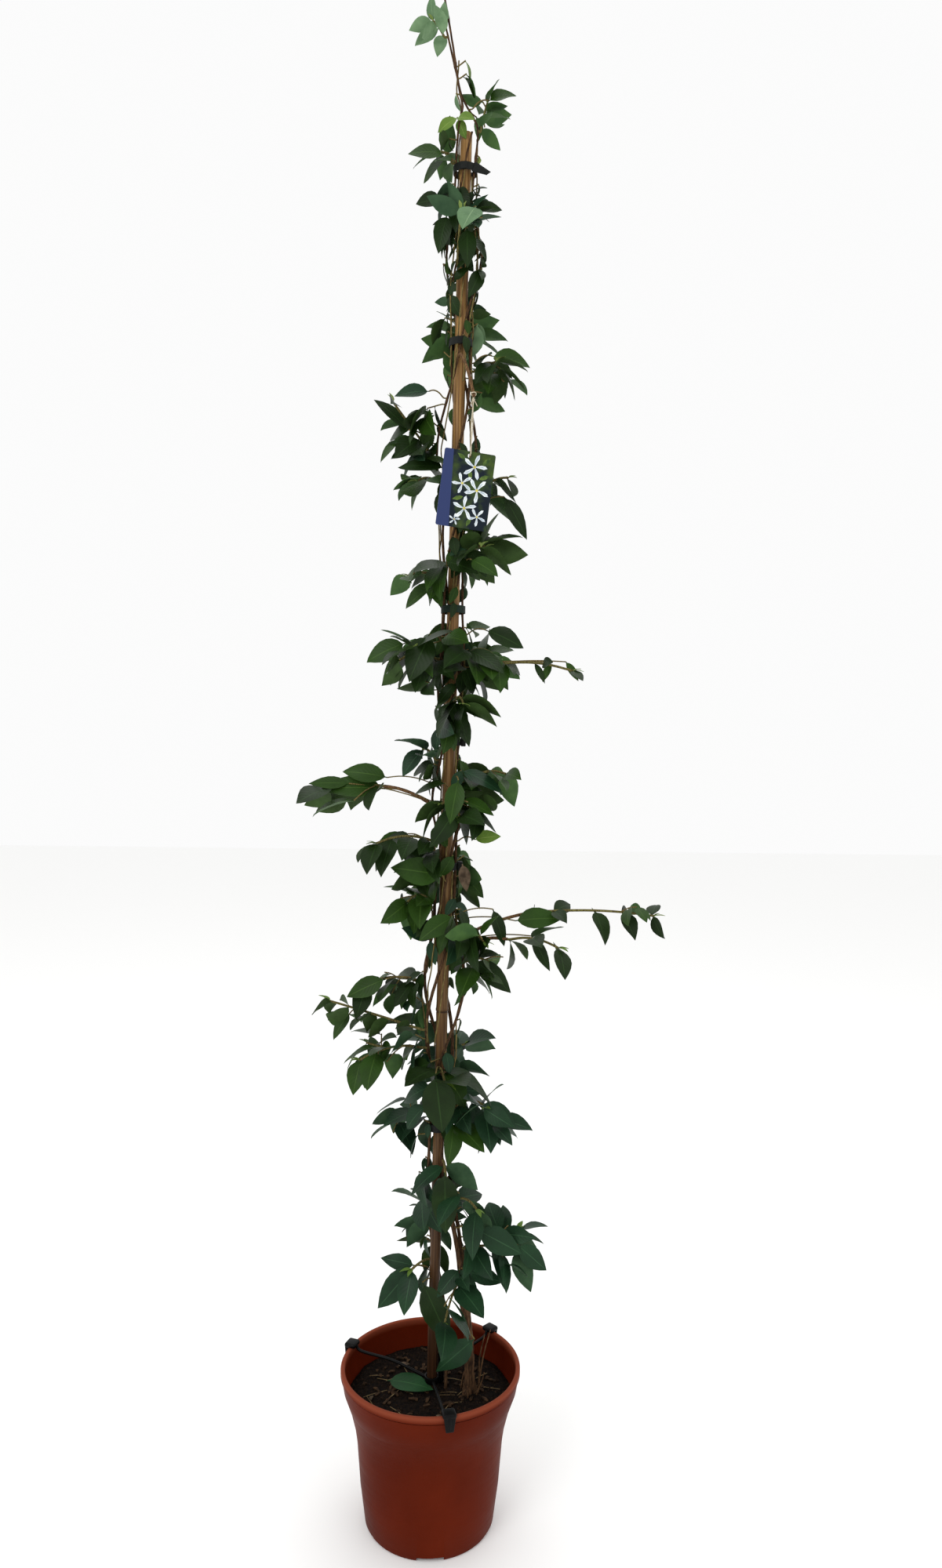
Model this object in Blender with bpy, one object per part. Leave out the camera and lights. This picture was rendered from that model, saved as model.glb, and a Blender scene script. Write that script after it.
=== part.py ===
# A star jasmine trained up a bamboo cane, standing in a moulded nursery pot.
# Lengths are metres, +Z is up, and the origin is the centre of the flat underside of the pot.
import math
import random

import bmesh
import bpy
from mathutils import Matrix, Vector
from mathutils.bvhtree import BVHTree

GAP = 0.0003
LIMB_GAP = 0.00035
TEST_MARGIN = 0.00015
PUSH = 0.0002
PUSH_STEPS = 12
LIMB_LEAD = 0.0040
BOUGH_STEPS = 4
BOUGH_SIDES = 5
TWIG_STEPS = 4

# Pot: turned shell with a rolled lip, a flared collar and a flat foot with drain notches.
# Radius and height of each ring, outside from the foot to the lip, then the lip's inner edge.
POT_SEGMENTS = 36
POT_OUTSIDE = (
    (0.0780, 0.0000), (0.0803, 0.0040), (0.0862, 0.0500), (0.0904, 0.1040), (0.0930, 0.1220),
    (0.1000, 0.1500), (0.1072, 0.1690), (0.1100, 0.1860), (0.1115, 0.1872), (0.1115, 0.1930),
    (0.1100, 0.1950),
)
POT_RIM_INSIDE = ((0.1072, 0.1950), (0.1060, 0.1935))
POT_WALL = 0.0022
POT_FLOOR = 0.0085
NOTCH_COUNT = 3
NOTCH_TURN = -87.0
NOTCH_WIDTH = 0.033
NOTCH_HEIGHT = 0.005
NOTCH_DEPTH = 0.014
POT_FOOT_RADIUS = 0.0803

# Soil: a plug inside the pot, level under the stems and a little lower at its edge.
SOIL_LEVEL = 0.1630
SOIL_EDGE_DROP = 0.0040
SOIL_LEVEL_RADIUS = 0.0880

# Cane: leans a little to +X and swells towards its middle.
CANE_SIDES = 10
CANE_BOTTOM = 0.0300
CANE_TOP = 1.6950
CANE_FOOT = (-0.0015, 0.0030)
CANE_LEAN = (0.0182, 0.0012)
CANE_RADIUS_FOOT = 0.0062
CANE_RADIUS_MIDDLE = 0.0074
CANE_RADIUS_TOP = 0.0070
CANE_RING = 0.0008
CANE_RING_HALF = 0.0035
CANE_JOINTS = (0.3950, 0.6400, 0.8650, 1.0900, 1.3150, 1.5400)
SOCKET_CLEARANCE = 0.0005

# Cane holder: a sleeve and a ring beside the cane with three arms hooked over the rim.
HOLDER_BAR = 0.0016
HOLDER_SLEEVE_RADIUS = 0.0034
HOLDER_SLEEVE_TOP = 0.2130
HOLDER_RING_HEIGHT = 0.0080
HOLDER_RING_WALL = 0.0020
HOLDER_LEVEL = 0.1740
HOLDER_RING_SEGMENTS = 12
HOLDER_RING_CLEARANCE = 0.0009
HOLDER_SLEEVE_OFFSET = 0.0019
HOLDER_SLEEVE_FOOT = 0.0045
HOLDER_ARM_SINK = 0.0008
HOLDER_ARM_KNEE = 0.0960
HOLDER_ARM_RISE = 0.0040
HOLDER_HOOK_INSIDE = 0.1035
HOLDER_HOOK_RADIUS = 0.1145
HOLDER_HOOK_TOP = 0.1974
HOLDER_HOOK_END = 0.1830
HOLDER_PAD_LIFT = 0.0010
HOLDER_ARMS = ((159.3, 0.1860), (46.1, 0.1860), (-76.7, 0.1780))
HOLDER_PAD = (0.0075, 0.0130, 0.0032)

# Ties: flat bands round the cane and the stems.
TIE_HEIGHTS = (0.4950, 0.8180, 0.9700, 1.1300, 1.4480, 1.6510)
TIE_BAND = 0.0090
TIE_WALL = 0.0010
TIE_CLEARANCE = 0.0004
TIE_SEGMENTS = 16
TIE_CLIP = (0.0060, 0.0130, 0.0110)
TIE_CLIPS = (1, 2)
TIE_CLIP_OFFSET = 0.0020
TIE_TAIL = (0.0200, 0.0014, 0.0120)
TIE_TAIL_PLACE = (0.0188, -0.0108, -0.0040)
TIE_TAIL_TURN = 24.0

# Trunk and climbing stems. Every climber turns the same way round the cane.
TRUNK_FOOT = (0.0480, -0.0045)
TRUNK_FORK = (0.0385, -0.0020, 0.2920)
TRUNK_FLARE = 0.0098
TRUNK_RADIUS = 0.0056
TRUNK_SIDES = 9
TRUNK_LEVELS = (0.0, 0.03, 0.10, 0.22, 0.45, 0.75, 1.0)
TRUNK_BOW = 0.0040
TRUNK_FLARE_POWER = 9
TRUNK_FORK_SWELL = 0.0006
TRUNK_BUTTRESS = (0.30, 0.25, 0.12)
STEM_SIDES = 5
STEM_STEP = 0.0450
STEM_JOIN = 0.4800
STEM_TURN_PITCH = 0.4300
STEM_CLEARANCE = 0.0010
STEM_END_CLEARANCE = 0.0080
FORK_SPREAD = 0.0032
FORK_TURN = -90.0
# name, foot x and y (None: starts on the fork), phase in degrees, bulge, top, foot and top radius
STEMS = (
    ("stem_front", None, -70.0, 0.006, 1.8600, 0.0024, 0.0012),
    ("stem_right", None, 5.0, 0.012, 1.6900, 0.0023, 0.0012),
    ("stem_back", None, 80.0, 0.009, 1.8350, 0.0022, 0.0011),
    ("stem_left", (0.0189, 0.0012), 185.0, 0.016, 1.6350, 0.0020, 0.0012),
)
SHORTEST_BULGE = 0.05
FULL_BULGE = 0.30
LEADER_START = CANE_TOP + 0.0040
LEADER_CLOSING = 0.0450
LEADER_TIE = 1.7800
LEADER_LEAN = (-0.2150, 0.0300, 0.0)
LEADER_RADIUS = 0.0030

# Boughs, each from the stem nearest its side: name, height, bearing, reach, rise, arch, foot and
# tip radius
BOUGHS = (
    ("bough_right_low", 0.7290, 3.0, 0.0850, 0.0300, 0.004, 0.0020, 0.0017),
    ("bough_right_lower", 0.7200, -26.0, 0.0580, 0.0120, 0.004, 0.0020, 0.0017),
    ("bough_left_middle", 0.8950, 184.0, 0.0550, 0.0200, 0.004, 0.0020, 0.0017),
    ("bough_label", 1.4300, -60.0, 0.0330, -0.0580, 0.008, 0.0019, 0.0015),
)

# Label: a plain card on a cord looped over its own short bough.
LABEL_SIZE = (0.0600, 0.0880, 0.0012)
LABEL_CENTRE = (0.0330, -0.0450, 1.2634)
LABEL_TURN = (4.0, 6.5, 8.0)
LABEL_HOLE = 0.0026
LABEL_HOLE_INSET = 0.0050
CORD_RADIUS = 0.0006
CORD_SIDES = 5
CORD_STITCH = 0.0012
CORD_SPREAD = 0.0030
CORD_LOOP = 0.0035

# Leaves: opposite pairs on three-sided twigs.
LEAF_WIDTH = 0.53
LEAF_THICKNESS = 0.022
LEAF_ROOT_HALF = 0.00038
LEAF_TRIES = 7
TWIG_RADIUS = (0.0018, 0.0014)
NODE_SPACING_JITTER = 0.12
# Foliage: name, bough whose tip it grows from (None: the stem nearest its side), height on that
# stem, bearing, reach, rise, arch, pairs, leaf length, side shoots
FOLIAGE_SEED = 5
FOLIAGE = (
    ("leaves_foot_left", None, 0.3220, 222.0, 0.032, -0.004, 0.004, 3, 0.066, 0),
    ("leaves_foot_front", None, 0.3040, 250.0, 0.034, -0.040, 0.006, 2, 0.066, 0),
    ("leaves_foot_right", None, 0.3420, -8.0, 0.060, 0.000, 0.006, 3, 0.062, 1),
    ("leaves_foot_upper", None, 0.4050, -30.0, 0.036, 0.000, 0.008, 3, 0.062, 0),
    ("leaves_foot_back", None, 0.3500, 100.0, 0.060, 0.015, 0.008, 4, 0.058, 0),
    ("leaves_low_front", None, 0.4560, -85.0, 0.030, -0.034, 0.004, 3, 0.066, 0),
    ("leaves_low_right", None, 0.5180, -12.0, 0.056, -0.012, 0.018, 4, 0.058, 1),
    ("leaves_low_left", None, 0.4920, 182.0, 0.048, -0.004, 0.006, 3, 0.054, 0),
    ("leaves_low_back", None, 0.5600, 85.0, 0.062, 0.020, 0.008, 4, 0.058, 1),
    ("leaves_tongue", None, 0.5740, -85.0, 0.020, -0.012, 0.006, 2, 0.074, 0),
    ("leaves_left_reach", None, 0.6160, 184.0, 0.115, 0.030, 0.002, 5, 0.042, 0),
    ("leaves_left_low", None, 0.5920, 194.0, 0.078, -0.010, 0.008, 4, 0.056, 1),
    ("leaves_left_lower", None, 0.6720, 178.0, 0.068, -0.004, 0.008, 3, 0.052, 0),
    ("leaves_low_inner", None, 0.7000, -35.0, 0.030, 0.004, 0.004, 3, 0.058, 0),
    ("leaves_left_mid", None, 0.7750, 196.0, 0.030, 0.000, 0.008, 4, 0.056, 0),
    ("leaves_right_inner", None, 0.7380, -28.0, 0.042, -0.006, 0.008, 3, 0.056, 0),
    ("leaves_right_tip", "bough_right_low", 0.0, 3.0, 0.150, -0.004, 0.005, 5, 0.042, 0),
    ("leaves_right_lower", "bough_right_lower", 0.0, -14.0, 0.058, -0.010, 0.006, 3, 0.056, 0),
    ("leaves_mid_back", None, 0.7900, 95.0, 0.066, 0.020, 0.008, 4, 0.058, 1),
    ("leaves_left_tip", "bough_left_middle", 0.0, 182.0, 0.062, -0.004, 0.004, 4, 0.064, 0),
    ("leaves_left_under", None, 0.8480, 202.0, 0.074, 0.000, 0.008, 4, 0.058, 0),
    ("leaves_left_over", None, 0.9480, 188.0, 0.016, 0.016, 0.004, 3, 0.052, 0),
    ("leaves_right_mid", None, 0.9200, -8.0, 0.050, 0.014, 0.008, 3, 0.050, 0),
    ("leaves_front_mid", None, 0.9050, -70.0, 0.024, -0.020, 0.004, 4, 0.058, 1),
    ("leaves_left_upper", None, 1.0700, 194.0, 0.046, -0.004, 0.008, 5, 0.064, 1),
    ("leaves_right_upper", None, 1.0760, -14.0, 0.036, -0.004, 0.008, 3, 0.062, 0),
    ("leaves_right_sprig", None, 1.0520, 2.0, 0.130, 0.004, 0.012, 4, 0.034, 0),
    ("leaves_band", None, 1.0200, -62.0, 0.030, -0.006, 0.006, 3, 0.056, 0),
    ("leaves_upper_back", None, 1.0600, 90.0, 0.060, 0.020, 0.008, 4, 0.060, 1),
    ("leaves_left_band", None, 1.1650, 190.0, 0.040, 0.004, 0.006, 3, 0.052, 0),
    ("leaves_right_band", None, 1.1900, -20.0, 0.022, 0.016, 0.006, 4, 0.062, 1),
    ("leaves_left_card", None, 1.2750, 186.0, 0.032, 0.004, 0.006, 3, 0.054, 0),
    ("leaves_right_card", None, 1.2700, 2.0, 0.040, 0.020, 0.006, 3, 0.056, 0),
    ("leaves_left_high", None, 1.3150, 190.0, 0.050, 0.062, 0.000, 5, 0.048, 0),
    ("leaves_right_high", None, 1.4150, -6.0, 0.030, 0.004, 0.008, 4, 0.056, 1),
    ("leaves_high_back", None, 1.4550, 96.0, 0.044, 0.020, 0.008, 4, 0.058, 1),
    ("leaves_column", None, 1.5350, -75.0, 0.022, 0.056, 0.004, 5, 0.052, 0),
    ("leaves_crown_low", None, 1.6500, 190.0, 0.016, 0.016, 0.004, 4, 0.050, 0),
    ("leaves_crown", None, 1.7000, 0.0, 0.008, 0.030, 0.002, 4, 0.040, 0),
    ("leaves_leader", None, 1.8100, 180.0, 0.014, 0.018, 0.002, 4, 0.038, 0),
)
UP = Vector((0.0, 0.0, 1.0))


def clear_scene():
    for obj in list(bpy.data.objects):
        bpy.data.objects.remove(obj, do_unlink=True)


def plain_material(name, rgb, roughness):
    material = bpy.data.materials.new(name)
    material.use_nodes = True
    shader = material.node_tree.nodes["Principled BSDF"]
    shader.inputs["Base Color"].default_value = (rgb[0], rgb[1], rgb[2], 1.0)
    shader.inputs["Roughness"].default_value = roughness
    material.diffuse_color = (rgb[0], rgb[1], rgb[2], 1.0)
    return material


def add_solid(name, shape, smooth=True):
    points, faces = shape
    mesh = bpy.data.meshes.new(name)
    mesh.from_pydata([tuple(point) for point in points], [], faces)
    mesh.polygons.foreach_set("use_smooth", [smooth] * len(mesh.polygons))
    mesh.update()
    obj = bpy.data.objects.new(name, mesh)
    bpy.context.scene.collection.objects.link(obj)
    return obj


def finish(obj, rgb, roughness):
    obj.data.materials.clear()
    obj.data.materials.append(plain_material(obj.name + "_finish", rgb, roughness))
    return obj


def fuse(obj, others, operation="UNION", solver="EXACT"):
    # One Boolean on a collection of the other bodies, applied, and the bodies then removed.
    group = bpy.data.collections.new(obj.name + "_bodies")
    bpy.context.scene.collection.children.link(group)
    for other in others:
        bpy.context.scene.collection.objects.unlink(other)
        group.objects.link(other)
    change = obj.modifiers.new("Fuse", "BOOLEAN")
    change.operation = operation
    change.solver = solver
    change.operand_type = "COLLECTION"
    change.collection = group
    bpy.context.view_layer.update()
    graph = bpy.context.evaluated_depsgraph_get()
    joined = bpy.data.meshes.new_from_object(obj.evaluated_get(graph))
    obj.modifiers.clear()
    obj.data = joined
    for other in others:
        bpy.data.objects.remove(other, do_unlink=True)
    bpy.data.collections.remove(group)
    keep_largest(obj)
    return obj


def keep_largest(obj):
    # Drops loose scraps and the walls of sealed hollows, so that one outward body is left.
    shape = bmesh.new()
    shape.from_mesh(obj.data)
    bmesh.ops.triangulate(shape, faces=shape.faces)
    islands = []
    seen = set()
    for first in shape.verts:
        if first in seen:
            continue
        island = [first]
        seen.add(first)
        for vert in island:
            for edge in vert.link_edges:
                other = edge.other_vert(vert)
                if other not in seen:
                    seen.add(other)
                    island.append(other)
        islands.append(island)
    islands.sort(key=len, reverse=True)
    for island in islands[1:]:
        bmesh.ops.delete(shape, geom=island, context="VERTS")
    shape.to_mesh(obj.data)
    shape.free()


def turned_shape(profile, segments):
    # Revolves an open profile whose first and last points lie on the axis.
    points = [Vector((0.0, 0.0, profile[0][1]))]
    faces = []
    for radius, height in profile[1:-1]:
        for i in range(segments):
            angle = 2.0 * math.pi * i / segments
            points.append(Vector((radius * math.cos(angle), radius * math.sin(angle), height)))
    points.append(Vector((0.0, 0.0, profile[-1][1])))
    rings = len(profile) - 2
    for i in range(segments):
        j = (i + 1) % segments
        faces.append((0, 1 + j, 1 + i))
        for ring in range(rings - 1):
            low = 1 + ring * segments
            high = low + segments
            faces.append((low + i, low + j, high + j, high + i))
        last = 1 + (rings - 1) * segments
        faces.append((last + i, last + j, len(points) - 1))
    return points, faces


def tube_shape(path, radii, sides, closed=False):
    # A swept tube with flat ends, or a closed loop.
    count = len(path)
    tangents = []
    for i in range(count):
        if closed:
            step = path[(i + 1) % count] - path[i - 1]
        else:
            step = path[min(i + 1, count - 1)] - path[max(i - 1, 0)]
        tangents.append(step.normalized())
    across = tangents[0].orthogonal().normalized()
    points = []
    faces = []
    for i in range(count):
        across = (across - tangents[i] * across.dot(tangents[i])).normalized()
        beside = tangents[i].cross(across)
        for k in range(sides):
            angle = 2.0 * math.pi * k / sides
            spoke = across * math.cos(angle) + beside * math.sin(angle)
            points.append(path[i] + spoke * radii[i])
    for i in range(count if closed else count - 1):
        low = i * sides
        high = ((i + 1) % count) * sides
        for k in range(sides):
            j = (k + 1) % sides
            faces.append((low + k, low + j, high + j, high + k))
    if not closed:
        faces.append(tuple(reversed(range(sides))))
        faces.append(tuple(range((count - 1) * sides, count * sides)))
    return points, faces


def box_shape(size, place):
    points = []
    for x in (-0.5, 0.5):
        for y in (-0.5, 0.5):
            for z in (-0.5, 0.5):
                points.append(place @ Vector((x * size[0], y * size[1], z * size[2])))
    faces = [(0, 1, 3, 2), (4, 6, 7, 5), (0, 4, 5, 1), (2, 3, 7, 6), (0, 2, 6, 4), (1, 5, 7, 3)]
    return points, faces


def heading(bearing):
    angle = math.radians(bearing)
    return Vector((math.cos(angle), math.sin(angle), 0.0))


def blend(a, b, share):
    return a + (b - a) * share


def ease(share):
    share = min(max(share, 0.0), 1.0)
    return share * share * (3.0 - 2.0 * share)


# ---- pot and soil ----
def inner_radius(height):
    # Inside radius of the pot wall at a height between the floor and the rim.
    for (r_low, z_low), (r_high, z_high) in zip(POT_OUTSIDE, POT_OUTSIDE[1:]):
        if z_low <= height <= z_high and z_high > z_low:
            return blend(r_low, r_high, (height - z_low) / (z_high - z_low)) - POT_WALL
    return POT_OUTSIDE[-1][0] - POT_WALL


def make_pot():
    inside = [(inner_radius(z), z) for r, z in reversed(POT_OUTSIDE) if POT_FLOOR < z < 0.186]
    inside = [(min(r, POT_RIM_INSIDE[-1][0]), z) for r, z in inside]
    profile = [(0.0, 0.0)] + list(POT_OUTSIDE) + list(POT_RIM_INSIDE) + inside
    profile += [(inner_radius(POT_FLOOR), POT_FLOOR), (0.0, POT_FLOOR)]
    pot = add_solid("pot", turned_shape(profile, POT_SEGMENTS))
    cutters = []
    for i in range(NOTCH_COUNT):
        turn = Matrix.Rotation(math.radians(NOTCH_TURN + 360.0 * i / NOTCH_COUNT), 4, "Z")
        centre = Matrix.Translation((POT_FOOT_RADIUS, 0.0, 0.0))
        size = (2.0 * NOTCH_DEPTH, NOTCH_WIDTH, 2.0 * NOTCH_HEIGHT)
        cutters.append(add_solid("notch_cutter", box_shape(size, turn @ centre), False))
    fuse(pot, cutters, "DIFFERENCE")
    return finish(pot, (0.20, 0.045, 0.022), 0.42)


def make_soil():
    profile = [(0.0, POT_FLOOR + GAP)]
    floor_radius = inner_radius(POT_FLOOR + GAP)
    profile.append((floor_radius - 2.0 * GAP, POT_FLOOR + GAP))
    edge = SOIL_LEVEL - SOIL_EDGE_DROP
    for radius, height in POT_OUTSIDE:
        if POT_FLOOR + 0.005 < height < edge - 0.003:
            profile.append((radius - POT_WALL - 2.0 * GAP, height))
    profile.append((inner_radius(edge) - 2.0 * GAP, edge))
    profile.append((SOIL_LEVEL_RADIUS, SOIL_LEVEL))
    profile.append((0.0, SOIL_LEVEL))
    soil = add_solid("soil", turned_shape(profile, POT_SEGMENTS), False)
    heights = (CANE_BOTTOM - SOCKET_CLEARANCE, SOIL_LEVEL + 0.010)
    path = [cane_at(height) for height in heights]
    radii = [cane_radius(height) + SOCKET_CLEARANCE for height in heights]
    socket = add_solid("socket_cutter", tube_shape(path, radii, CANE_SIDES), False)
    fuse(soil, [socket], "DIFFERENCE")
    return finish(soil, (0.020, 0.014, 0.010), 0.95)


# ---- cane, holder and ties ----
def cane_at(height):
    x = CANE_FOOT[0] + CANE_LEAN[0] * height
    y = CANE_FOOT[1] + CANE_LEAN[1] * height
    return Vector((x, y, height))


def cane_radius(height):
    share = (height - CANE_BOTTOM) / (CANE_TOP - CANE_BOTTOM)
    if share < 0.5:
        return blend(CANE_RADIUS_FOOT, CANE_RADIUS_MIDDLE, 2.0 * share)
    return blend(CANE_RADIUS_MIDDLE, CANE_RADIUS_TOP, 2.0 * share - 1.0)


def make_cane():
    stops = [(CANE_BOTTOM, 0.0)]
    for joint in CANE_JOINTS:
        stops.append((joint - CANE_RING_HALF, 0.0))
        stops.append((joint, CANE_RING))
        stops.append((joint + CANE_RING_HALF, 0.0))
    stops.append((CANE_TOP, 0.0))
    path = [cane_at(height) for height, swell in stops]
    radii = [cane_radius(height) + swell for height, swell in stops]
    cane = add_solid("cane", tube_shape(path, radii, CANE_SIDES))
    return finish(cane, (0.20, 0.085, 0.035), 0.45)


def holder_arm(centre, start, bearing, level):
    # From the ring out over the soil, up inside the wall and over the lip.
    out = heading(bearing)
    foot = centre + out * start
    middle = foot.lerp(out * HOLDER_ARM_KNEE, 0.5)
    path = [foot, Vector((middle.x, middle.y, level))]
    path.append(out * HOLDER_ARM_KNEE + UP * (level + HOLDER_ARM_RISE))
    path.append(out * HOLDER_HOOK_INSIDE + UP * HOLDER_HOOK_TOP)
    path.append(out * HOLDER_HOOK_RADIUS + UP * HOLDER_HOOK_TOP)
    path.append(out * HOLDER_HOOK_RADIUS + UP * HOLDER_HOOK_END)
    arm = add_solid("holder_arm", tube_shape(path, [HOLDER_BAR] * len(path), 5), False)
    turn = Matrix.Rotation(math.radians(bearing), 4, "Z")
    middle = (HOLDER_HOOK_INSIDE + HOLDER_HOOK_RADIUS) / 2.0
    spot = Matrix.Translation((middle, 0.0, HOLDER_HOOK_TOP + HOLDER_PAD_LIFT))
    return [arm, add_solid("holder_pad", box_shape(HOLDER_PAD, turn @ spot), False)]


def make_holder():
    # The ring clears the cane, the sleeve stands beside it, and each arm hooks over the rim.
    centre = cane_at(HOLDER_LEVEL)
    inner = cane_radius(HOLDER_LEVEL) + HOLDER_RING_CLEARANCE
    outer = inner + HOLDER_RING_WALL
    ring = band_shape(centre, inner, outer, HOLDER_RING_HEIGHT, HOLDER_RING_SEGMENTS)
    holder = add_solid("holder", ring, False)
    low = centre + Vector((outer + HOLDER_SLEEVE_OFFSET, 0.0, -HOLDER_SLEEVE_FOOT))
    high = Vector((low.x, low.y, HOLDER_SLEEVE_TOP))
    sleeve = tube_shape([low, high], [HOLDER_SLEEVE_RADIUS] * 2, 8)
    pieces = [add_solid("holder_sleeve", sleeve, False)]
    for bearing, level in HOLDER_ARMS:
        pieces += holder_arm(centre, outer - HOLDER_ARM_SINK, bearing, level)
    fuse(holder, pieces)
    return finish(holder, (0.012, 0.012, 0.014), 0.5)


def band_shape(centre, inner, outer, height, segments):
    points = []
    faces = []
    corners = ((inner, -0.5), (outer, -0.5), (outer, 0.5), (inner, 0.5))
    for i in range(segments):
        angle = 2.0 * math.pi * i / segments
        spoke = Vector((math.cos(angle), math.sin(angle), 0.0))
        for radius, level in corners:
            points.append(centre + spoke * radius + UP * (level * height))
    for i in range(segments):
        low = 4 * i
        high = 4 * ((i + 1) % segments)
        for k in range(4):
            j = (k + 1) % 4
            faces.append((low + k, high + k, high + j, low + j))
    return points, faces


def tie_reach(height):
    # How far the climbers reach from the cane's axis inside the band at this height.
    reach = 0.0
    for row in STEMS:
        for level in (height - TIE_BAND / 2.0, height, height + TIE_BAND / 2.0):
            if level < row[4]:
                away = stem_centre(row, level) - cane_at(level)
                reach = max(reach, math.hypot(away.x, away.y) + stem_radius(row, level))
    return reach


def make_ties():
    ties = []
    for i, height in enumerate(TIE_HEIGHTS):
        inner = (tie_reach(height) + TIE_CLEARANCE) / math.cos(math.pi / TIE_SEGMENTS)
        outer = inner + TIE_WALL
        centre = cane_at(height)
        shape = band_shape(centre, inner, outer, TIE_BAND, TIE_SEGMENTS)
        tie = add_solid("tie_%d" % (i + 1), shape, False)
        if i in TIE_CLIPS:
            spot = Matrix.Translation(centre + Vector((outer + TIE_CLIP_OFFSET, 0.0, 0.0)))
            fuse(tie, [add_solid("tie_clip", box_shape(TIE_CLIP, spot), False)])
        if i == len(TIE_HEIGHTS) - 1:
            spot = centre + Vector(TIE_TAIL_PLACE)
            turn = Matrix.Rotation(math.radians(TIE_TAIL_TURN), 4, "Y")
            tail = box_shape(TIE_TAIL, Matrix.Translation(spot) @ turn)
            fuse(tie, [add_solid("tie_tail", tail, False)])
        ties.append(finish(tie, (0.014, 0.020, 0.016), 0.6))
    return ties


# ---- trunk, stems and boughs ----
def make_trunk():
    foot = Vector((TRUNK_FOOT[0], TRUNK_FOOT[1], SOIL_LEVEL + GAP))
    fork = Vector(TRUNK_FORK)
    path = []
    radii = []
    for share in TRUNK_LEVELS:
        spot = foot.lerp(fork, share)
        spot.x += TRUNK_BOW * math.sin(math.pi * share)
        path.append(spot)
        flare = (TRUNK_FLARE - TRUNK_RADIUS) * (1.0 - share) ** TRUNK_FLARE_POWER
        radii.append(TRUNK_RADIUS + flare + TRUNK_FORK_SWELL * ease((share - 0.6) / 0.4))
    points, faces = tube_shape(path, radii, TRUNK_SIDES)
    for i in range(TRUNK_SIDES):
        points[i].z = foot.z
    for i in range(len(points) - TRUNK_SIDES, len(points)):
        points[i].z = fork.z
    for ring, strength in enumerate(TRUNK_BUTTRESS):
        for i in range(TRUNK_SIDES):
            point = points[ring * TRUNK_SIDES + i]
            swell = 1.0 + strength * math.cos(3.0 * 2.0 * math.pi * i / TRUNK_SIDES)
            point.x = path[ring].x + (point.x - path[ring].x) * swell
            point.y = path[ring].y + (point.y - path[ring].y) * swell
    trunk = add_solid("trunk", (points, faces))
    return finish(trunk, (0.115, 0.062, 0.034), 0.85)


def stem_radius(row, height):
    share = (height - SOIL_LEVEL) / (row[4] - SOIL_LEVEL)
    return blend(row[5], row[6], min(max(share, 0.0), 1.0))


def stem_distance(row, height):
    # Distance from the cane's axis: close at a tie, bulging outwards between two ties.
    close = CANE_RADIUS_MIDDLE + CANE_RING + row[5] + STEM_CLEARANCE
    marks = (STEM_JOIN,) + TIE_HEIGHTS + (LEADER_TIE,)
    for low, high in zip(marks, marks[1:]):
        if low <= height <= high and high - low > SHORTEST_BULGE:
            swell = math.sin(math.pi * (height - low) / (high - low)) ** 2
            return close + row[3] * swell * min(1.0, (high - low) / FULL_BULGE)
    return close


def stem_spot(row, height):
    turned = max(height - STEM_JOIN, 0.0) / STEM_TURN_PITCH
    angle = math.radians(row[2]) + 2.0 * math.pi * turned
    spoke = Vector((math.cos(angle), math.sin(angle), 0.0))
    over = max(height - LEADER_START, 0.0)
    closing = ease(over / LEADER_CLOSING)
    distance = blend(stem_distance(row, height), LEADER_RADIUS, closing)
    lean = Vector(LEADER_LEAN) * (over * closing)
    return cane_at(height) + spoke * distance + lean


def around_cane(row, start, height, share):
    # Swings behind the cane from the stem's own foot to its phase.
    away = start - cane_at(start.z)
    angle = blend(math.atan2(away.y, away.x), math.radians(row[2]), share)
    distance = blend(math.hypot(away.x, away.y), stem_distance(row, height), share)
    return cane_at(height) + Vector((math.cos(angle), math.sin(angle), 0.0)) * distance


def stem_path(row):
    # From the fork or its own foot to the cane, then up and round it.
    if row[1] is None:
        place = [stem[0] for stem in STEMS if stem[1] is None].index(row[0])
        spread = heading(FORK_TURN + 120.0 * place) * FORK_SPREAD
        start = Vector(TRUNK_FORK) + spread + UP * GAP
    else:
        start = Vector((row[1][0], row[1][1], SOIL_LEVEL + GAP))
    count = max(3, round((STEM_JOIN - start.z) / STEM_STEP))
    path = []
    for i in range(count):
        share = i / count
        height = blend(start.z, STEM_JOIN, share)
        if row[1] is None:
            spot = start.lerp(stem_spot(row, height), ease(share))
        else:
            spot = around_cane(row, start, height, ease(share))
        spot.z = height
        path.append(spot)
    steps = round((row[4] - STEM_JOIN) / STEM_STEP)
    for i in range(steps + 1):
        path.append(stem_spot(row, blend(STEM_JOIN, row[4], i / steps)))
    return path


def stem_shape(row):
    path = stem_path(row)
    radii = [stem_radius(row, spot.z) for spot in path]
    points, faces = tube_shape(path, radii, STEM_SIDES)
    for i in range(STEM_SIDES):
        points[i].z = path[0].z
    return points, faces


def spot_on(path, height):
    for low, high in zip(path, path[1:]):
        if low.z <= height <= high.z:
            return low.lerp(high, (height - low.z) / (high.z - low.z))
    return path[-1].copy()


def limb_path(start, bearing, reach, rise, arch, bend, steps):
    # Leaves its host square on, then carries on along its bearing with an arch and a bend.
    out = heading(bearing)
    aside = UP.cross(out)
    path = [start]
    lead = start + out * min(LIMB_LEAD, 0.2 * reach)
    for i in range(steps + 1):
        share = i / steps
        spot = lead + out * (reach * share) + aside * (bend * share * share)
        path.append(spot + UP * (rise * share + arch * 4.0 * share * (1.0 - share)))
    return path


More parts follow.
